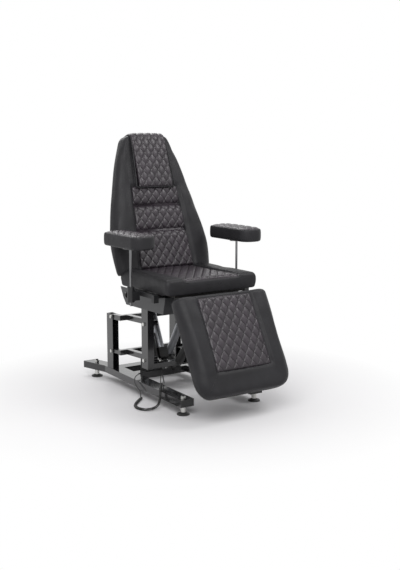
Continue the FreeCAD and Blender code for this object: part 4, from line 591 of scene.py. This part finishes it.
def seat():
    """The seat cushion: boxed, with plain bolsters and a quilted middle that reaches its front edge."""
    front, rear, thick = -333.0, 186.0, 82.0
    widest, panel, taper, waist = 291, 174.0, 7, 5
    nose, heel, front_corner, rear_corner = 20, 34, 24, 26
    board_edge, hang, hang_from = 232, 12, 40
    side_fade, front_fade, top_fade = 12, 60, 16
    long = rear - front

    def top(v):
        return thick - 4 * math.sin(math.pi * clamp((v - front) / long))

    def lap(u, v, w):
        """How far the cover's lower edge hangs past the board at the sides."""
        beside = clamp((abs(u) - board_edge) / side_fade) * clamp((v - front - hang_from) / front_fade)
        return hang * beside * clamp(1 - w / top_fade)

    rings = []
    for v in stations(front, rear, front_corner, heel):
        ahead, behind = v - front, rear - v
        drop = max(corner_shift(ahead, nose), corner_shift(behind, heel))
        inset = max(corner_shift(ahead, front_corner) * 0.7, corner_shift(behind, rear_corner) * 0.6)
        pull = waist * math.sin(math.pi * ahead / long)
        half = widest - taper * ahead / long - inset - pull
        fade = clamp(ahead / 24) * clamp(behind / 30)
        section = half_profile(half, top(v) - drop, panel * (half / widest), notch=6 * fade, swell=3 * fade,
                               roll=22 + drop * 0.2)
        rings.append(ring_of(section, lambda u, w: on_seat(u, v, max(w, CLEAR) - lap(u, v, w))))
    body = piece("seat_cushion_cover", skin(rings), FINISH["leather"], "carriage")

    def held(place):
        u, _, w = off_seat(place)
        return w < HELD_LOW or (w > HELD_HIGH and abs(u) < panel - 9)

    puffed(body, held)
    subdivided(body)
    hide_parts("seat_cushion")

    def base(u, v):
        return top(v) - 7 + crowned(u, panel, 5) - corner_shift(v - front, nose) * 0.9

    outline = [(-panel, front + 7), (panel, front + 7), (panel - 3, rear - 10), (3 - panel, rear - 10)]
    quilt("seat_quilt", on_seat, base, outline, pitch=(52, 72), body="carriage", start=(0, front + 7))


# Back cushion

BACK_LONG, BACK_THICK = 796.0, 84.0
BACK_WIDTHS = ((0.0, 304), (0.2, 317), (0.4, 292), (0.6, 251), (0.8, 205), (1.0, 143))
FOLDS = (229.0, 379.0)
FOLD_DEPTH, FOLD_REACH, CREASE_DEPTH, CREASE_REACH = 20, 46, 9, 9
SECTIONS = ((-90.0, FOLDS[0]), FOLDS, (FOLDS[1], 800.0))


def back_half(share, scale=1000, count=101):
    """Half the back's width at a share of its length above the foot, on a smooth line through the widths."""
    spots = curve_through([(s * scale, h, 0) for s, h in BACK_WIDTHS], count)
    return float(np.interp(share, [p.x / scale for p in spots], [p.y for p in spots]))


def back_top(v):
    """The back's face height along its length: three bulging sections between two folds."""
    for low, high in SECTIONS:
        if low <= v <= high:
            near = min(v - low, high - v)
            return (BACK_THICK - FOLD_DEPTH * (1 - min(near / FOLD_REACH, 1)) ** 2
                    - CREASE_DEPTH * (1 - min(near / CREASE_REACH, 1)) ** 1.5)
    return BACK_THICK


def back():
    """The backrest cushion: bolsters around a panel quilted in three sections, and a smooth head end."""
    foot, stop = -12, 489.0
    foot_round, head_round, foot_corner, head_corner, head_end = 30, 24, 24, 34, 40
    half_panel, narrowing, bolster = 178, 43, 30

    def panel(v):
        return half_panel - narrowing * v / BACK_LONG

    rings = []
    for v in stations(foot, BACK_LONG, foot_round, head_end):
        up, down = v - foot, BACK_LONG - v
        drop = max(corner_shift(up, foot_round), corner_shift(down, head_round))
        inset = max(corner_shift(up, foot_corner) * 0.5, corner_shift(down, head_corner) * 0.7)
        half = back_half(v / BACK_LONG) - inset
        quilted = clamp((stop + 16 - v) / 30)
        fade = clamp(v / 30) * quilted
        sink = (BACK_THICK - back_top(v) + 4) * fade - BED * (1 - quilted)
        section = half_profile(half, BACK_THICK - drop, min(panel(v), half - bolster), notch=7 * fade,
                               swell=1, roll=90, foot=12, sink=sink)
        rings.append(ring_of(section, lambda u, w: on_back(u, v, max(w, CLEAR))))
    body = piece("back_cushion_cover", skin(rings), FINISH["leather"], "backrest")

    def held(place):
        u, v, w = off_back(place)
        return w < HELD_LOW or (w > HELD_HIGH and abs(u) < panel(v) - 10)

    puffed(body, held)
    subdivided(body)
    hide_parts("back_cushion")

    def base(u, v):
        return back_top(v) - 9 + crowned(u, half_panel, 4)

    outline = [(-panel(6), 6), (panel(6), 6), (panel(stop), stop), (-panel(stop), stop)]
    quilt("back_quilt", on_back, base, outline, pitch=(52, 70), body="backrest", start=(0, FOLDS[0]),
          folds=FOLDS)


# Head pad

def head():
    """The head pad: a thick quilted slip with a piped foot, folded over the back's top and down behind it."""
    low, high, rear, behind = 478.0, 797.0, 17.0, 74
    wide_foot, wide_top = 130, 112
    over_quilt, over_cover, quilt_end = 88.5, 85.7, 530
    bend, turn = 30.0, 14.0
    over_front = high - bend
    arc, top, arc_rear = math.pi / 2 * bend, BACK_THICK + rear - bend - turn, math.pi / 2 * turn
    end = over_front + arc + top + arc_rear + behind

    def half(v):
        return wide_foot + (wide_top - wide_foot) * (min(v, high) - low) / (high - low)

    def base(u, v):
        proud = 22 - 13 * clamp((v - high + bend + 60) / 130)
        return BACK_THICK + proud - 4 * (u / 128) ** 2 - 5 * max(1 - (v - low) / 30, 0) ** 2

    def depth(u, v):
        """How far the pad's underside lies below its face: just clear of the back's quilting and cover."""
        return max(base(u, v) - (over_quilt if v < quilt_end else over_cover), 1.5)

    def wrapped(u, v, w):
        """Carries the flat pad round the top: along the face, over the front roll, rearwards and down."""
        above, past = w - BACK_THICK, v - over_front
        if past <= 0:
            return on_back(u, v, w)
        if past <= arc:
            a = past / bend
            reach = bend + above
            return on_back(u, over_front + reach * math.sin(a), BACK_THICK - bend + reach * math.cos(a))
        past -= arc
        if past <= top:
            return on_back(u, high + above, BACK_THICK - bend - past)
        past -= top
        if past <= arc_rear:
            a = past / turn
            reach = turn + above
            return on_back(u, high - turn + reach * math.cos(a), turn - rear - reach * math.sin(a))
        return on_back(u, high - turn - (past - arc_rear), -rear - above)

    outline = [(-half(low), low), (half(low), low), (half(high), high), (half(high), end), (-half(high), end),
               (-half(high), high)]
    pad = quilt("head_pad_quilt", wrapped, base, outline, pitch=(48, 68), body="head_pad", rise=6,
                start=(0, low + 30), depth=depth, edge=8)
    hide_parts("head_pad")
    sides = [low + 9, *range(540, 721, 60), over_front, over_front + arc / 2, over_front + arc, high + 60,
             over_front + arc + top, end - 60, end - 20, end - 2]
    rim = [(-half(v) + 1, v) for v in reversed(sides)]
    rim += [(-half(low) + 9, low + 1), (0, low), (half(low) - 9, low + 1)]
    rim += [(half(v) - 1, v) for v in sides]
    welt("head_pad_piping", [wrapped(u, v, base(u, v) - 4) for u, v in rim], 4, "head_pad", count=160,
         mat=FINISH["leather"])


# Leg cushion

def leg():
    """The leg rest cushion: boxed sides around a quilted panel that stops short of its smooth lower band."""
    length, thick, widest = 540.0, 86.0, 292
    head_round, foot_round, head_corner, foot_corner = 26, 22, 30, 92.0
    half_panel, widening, bolster, step_out, step_down = 168, 6, 60, 8.6, 10.2
    stop = 0.78 * length

    def panel(v):
        return half_panel + widening * v / stop

    rings = []
    for v in stations(0, length, head_round, foot_corner):
        drop = max(corner_shift(v, head_round), corner_shift(length - v, foot_round))
        inset = max(corner_shift(v, head_corner) * 0.6, corner_shift(length - v, foot_corner) * 0.86)
        half = widest - inset
        fade = clamp((stop + 12 - v) / 24) * clamp(v / 20)
        sink = 2 * fade - BED * (1 - fade)
        section = half_profile(half, thick - drop, min(panel(v), half - bolster), notch=6 * fade,
                               swell=3 * fade, roll=52, foot=12, sink=sink)
        rings.append(ring_of(section, lambda u, w: on_leg(u, v, max(w, CLEAR))))
    body = piece("leg_cushion_cover", skin(rings), FINISH["leather"], "legrest")

    def held(place):
        u, v, w = off_leg(place)
        return w < HELD_LOW or (w > HELD_HIGH and abs(u) < panel(v) - 10 and v < stop - 10)

    puffed(body, held)
    subdivided(body)
    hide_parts("leg_cushion")

    def base(u, v):
        return thick - 8 + crowned(u, 160, 4)

    for side, title in ((-1, "right"), (1, "left")):
        mitre = [(side * (panel(stop) - 1 + k * step_out), stop - 1 + k * step_down) for k in range(11)]
        # Thin welts along the real mitre seams, whose darker leather is painted shade of the seam grooves
        welt(f"leg_mitre_{title}", laid(body, on_leg, mitre), 0.9, "legrest")
    outline = [(-panel(20), 20), (panel(20), 20), (panel(stop), stop), (-panel(stop), stop)]
    quilt("leg_quilt", on_leg, base, outline, pitch=(53, 74), body="legrest", start=(0, stop))


# Arm pads

ARM_HALF, ARM_FRONT, ARM_REAR = 71, -178, 190
ARM_REAR_ROUND, ARM_FRONT_ROUND, ARM_ROUND_STEPS = 32, 60, 9
ARM_RINGS = ((40, 0.4), (18, 0.4), (7, 1), (2, 6), (0, 14), (-0.5, 28), (-0.5, 46), (0.5, 62), (2, 68),
             (5, 71), (9, 72), (16, 71), (40, 71))


def arm_outline(inset):
    """An arm pad's outline seen from above, drawn in by an inset, with a blunt rear and a rounder front."""
    spots = []
    half, front, rear = ARM_HALF - inset, ARM_FRONT + inset, ARM_REAR - inset
    for cu, cv, first in ((1, 1, 0), (-1, 1, 90), (-1, -1, 180), (1, -1, 270)):
        radius = (ARM_REAR_ROUND if cv > 0 else ARM_FRONT_ROUND) - inset * 0.6
        centre = Vector(((half - radius) * cu, (rear - radius) if cv > 0 else (front + radius), 0))
        for k in range(ARM_ROUND_STEPS + 1):
            a = math.radians(first + 90 * k / ARM_ROUND_STEPS)
            spots.append(centre + Vector((math.cos(a), math.sin(a), 0)) * radius)
    return spots


def arm(side, sign):
    """An arm pad: a plain boxed band with a quilted top."""
    across, along, height = ARM_MIDDLE
    at = Vector((across * sign, along, height))

    def put(u, v, w):
        return (at + Vector((u, v, w))) * MM

    rings = [[put(p.x, p.y, w) for p in arm_outline(inset)] for inset, w in ARM_RINGS]
    body = piece(f"arm_pad_cover_{side}", skin(rings), FINISH["leather"], f"arm_pad_{side}")
    subdivided(body)
    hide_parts(f"arm_pad_{side}")

    def base(u, v):
        return 69 + crowned(u, ARM_HALF, 12) * (1 - ((v - 6) / 185) ** 4)

    outline = [(p.x, p.y) for p in arm_outline(6)][::2]
    quilt(f"arm_quilt_{side}", put, base, outline, pitch=(48, 66), body=f"arm_pad_{side}", rise=5,
          start=(0, 13), edge=12, depth=8)


# Handset cord

CORD_RADIUS, COIL_RADIUS, COIL_TURNS, TURN_POINTS = 0.0025, 0.0055, 69.5, 14
HANDSET_LINE = [(-0.100, 0.220, 0.104), (-0.100, 0.203, 0.104), (-0.108, 0.178, 0.107),
                (-0.146, 0.158, 0.112), (-0.200, 0.138, 0.108), (-0.246, 0.116, 0.101),
                (-0.268, 0.084, 0.078), (-0.273, 0.042, 0.056), (-0.27213, 0.00387, 0.04265),
                (-0.27681, -0.00016, 0.01319)]
CURL_LINE = [(-0.274, -0.005, 0.0083), (-0.368, -0.086, 0.0083), (-0.396, -0.160, 0.0083),
             (-0.366, -0.224, 0.0083), (-0.302, -0.223, 0.0143), (-0.285, -0.220, 0.0463),
             (-0.280, -0.218, 0.0843), (-0.261, -0.190, 0.1093), (-0.222, -0.136, 0.1113)]
BOX_LINE = [(-0.22595, -0.13207, 0.11622), (-0.2222, -0.1269, 0.1518), (-0.184, -0.084, 0.150),
            (-0.158, -0.052, 0.108), (-0.134, -0.022, 0.074), (-0.100, 0.034, 0.064), (-0.070, 0.088, 0.064),
            (-0.048, 0.136, 0.078), (-0.033, 0.170, 0.094), (-0.027, 0.196, 0.104), (-0.027, 0.213, 0.104)]


def curls():
    """The curly stretch: a helix round a smooth line over the floor and the rail."""
    spine = curve_through([p / MM for p in line_of(CURL_LINE)], int(COIL_TURNS * TURN_POINTS))
    spine = [p * MM for p in spine]
    last = len(spine) - 1
    made = []
    for i, spot in enumerate(spine):
        forward = (spine[min(i + 1, last)] - spine[max(i - 1, 0)]).normalized()
        across = forward.cross(Vector((0, 0, 1))).normalized()
        above = across.cross(forward)
        angle = -2 * math.pi * COIL_TURNS * i / last
        made.append(spot + (across * math.cos(angle) + above * math.sin(angle)) * COIL_RADIUS)
    return made


def coiled_cord():
    """One cord: a lead from the handset, a curled stretch on the floor and a lead to the control box."""
    path = line_of(HANDSET_LINE) + curls() + line_of(BOX_LINE)
    made = piece("coiled_cord", tube(path, CORD_RADIUS), FINISH["cord_rubber"], "base")
    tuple(HANDSET_LINE[0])
    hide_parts("cord_curl", "cord_lead_handset", "cord_lead_box")


# Camera, floor and light

LENS, SENSOR = 58.74, 36
CAMERA_AT, CAMERA_AZIMUTH, CAMERA_ELEVATION = (-2.825, -4.374, 1.466), -34, 9.18
LAMP_TARGET = Vector((0, 0, 0.7))
LAMPS = (("key", (-1.9, -2.2, 2.9), 92, 2.6), ("fill", (1.9, -1.5, 3.5), 38, 1.4),
         ("rear", (0.2, 2.2, 3.4), 55, 2.2))
FLOOR_REACH, FLOOR_COLOUR = 9, (0.72, 0.71, 0.725, 1)
FADE_START, FADE_END = 0.5, 1.4
WHITE, WORLD_LIGHT = (1, 1, 1, 1), 0.4


def camera():
    """The photograph's view."""
    made = bpy.data.objects.new("camera", bpy.data.cameras.new("camera"))
    made.data.lens = LENS
    made.data.sensor_width = SENSOR
    made.data.sensor_fit = "AUTO"
    azimuth, elevation = math.radians(CAMERA_AZIMUTH), math.radians(CAMERA_ELEVATION)
    backward = Vector((math.sin(azimuth) * math.cos(elevation), -math.cos(azimuth) * math.cos(elevation),
                       math.sin(elevation)))
    made.location = CAMERA_AT
    made.rotation_euler = backward.to_track_quat("Z", "Y").to_euler()
    scene.collection.objects.link(made)
    scene.camera = made


def seen_by(nodes, links, *kinds):
    """1 for the rays of any of these kinds."""
    ray = nodes.new("ShaderNodeLightPath")
    seen = ray.outputs[f"Is {kinds[0]} Ray"]
    for kind in kinds[1:]:
        seen = maths(nodes, links, "MAXIMUM", seen, ray.outputs[f"Is {kind} Ray"])
    return seen


def mixed(nodes, links, share, first, second, output):
    """Puts a mix of two shaders on the material's or the world's surface."""
    mix = nodes.new("ShaderNodeMixShader")
    links.new(share, mix.inputs["Fac"])
    links.new(first.outputs[0], mix.inputs[1])
    links.new(second.outputs[0], mix.inputs[2])
    links.new(mix.outputs[0], nodes[output].inputs["Surface"])


def floor():
    """A pale floor that takes the chair's shadow and turns white away from it."""
    mesh = bpy.data.meshes.new("floor")
    corners = [(x * FLOOR_REACH, y * FLOOR_REACH, 0) for x, y in ((-1, -1), (1, -1), (1, 1), (-1, 1))]
    mesh.from_pydata(corners, [], [(0, 1, 2, 3)])
    made = bpy.data.objects.new("floor", mesh)
    scene.collection.objects.link(made)
    mat, nodes, links, shader = tree_of("floor")
    shader.inputs["Base Color"].default_value = FLOOR_COLOUR
    shader.inputs["Roughness"].default_value = 0.55
    away = add(nodes, "ShaderNodeVectorMath", operation="LENGTH")
    links.new(nodes.new("ShaderNodeTexCoord").outputs["Object"], away.inputs[0])
    fade = add(nodes, "ShaderNodeMapRange", From_Min=FADE_START, From_Max=FADE_END)
    links.new(away.outputs["Value"], fade.inputs["Value"])
    share = maths(nodes, links, "MULTIPLY", fade.outputs["Result"], seen_by(nodes, links, "Camera", "Glossy"))
    mixed(nodes, links, share, shader, nodes.new("ShaderNodeEmission"), "Material Output")
    mesh.materials.append(mat)


def world():
    """Soft light from all sides, in front of a backdrop that is seen white."""
    made = bpy.data.worlds.new("world")
    scene.world = made
    made.use_nodes = True
    nodes, links = made.node_tree.nodes, made.node_tree.links
    light, backdrop = nodes["Background"], nodes.new("ShaderNodeBackground")
    for node, strength in ((light, WORLD_LIGHT), (backdrop, 1.0)):
        node.inputs["Color"].default_value = WHITE
        node.inputs["Strength"].default_value = strength
    seen = seen_by(nodes, links, "Camera", "Glossy", "Transmission")
    mixed(nodes, links, seen, light, backdrop, "World Output")


def lamps():
    """Three soft lamps turned to the chair."""
    for name, spot, power, wide in LAMPS:
        light = bpy.data.lights.new(name, "AREA")
        light.energy = power
        light.size = wide
        made = bpy.data.objects.new(name, light)
        made.location = spot
        made.rotation_euler = (Vector(spot) - LAMP_TARGET).to_track_quat("Z", "Y").to_euler()
        scene.collection.objects.link(made)


camera()
floor()
world()
lamps()
coiled_cord()
dress_solids()
seat()
back()
head()
leg()
arm("left", 1)
arm("right", -1)

scene.view_settings.view_transform = "Standard"
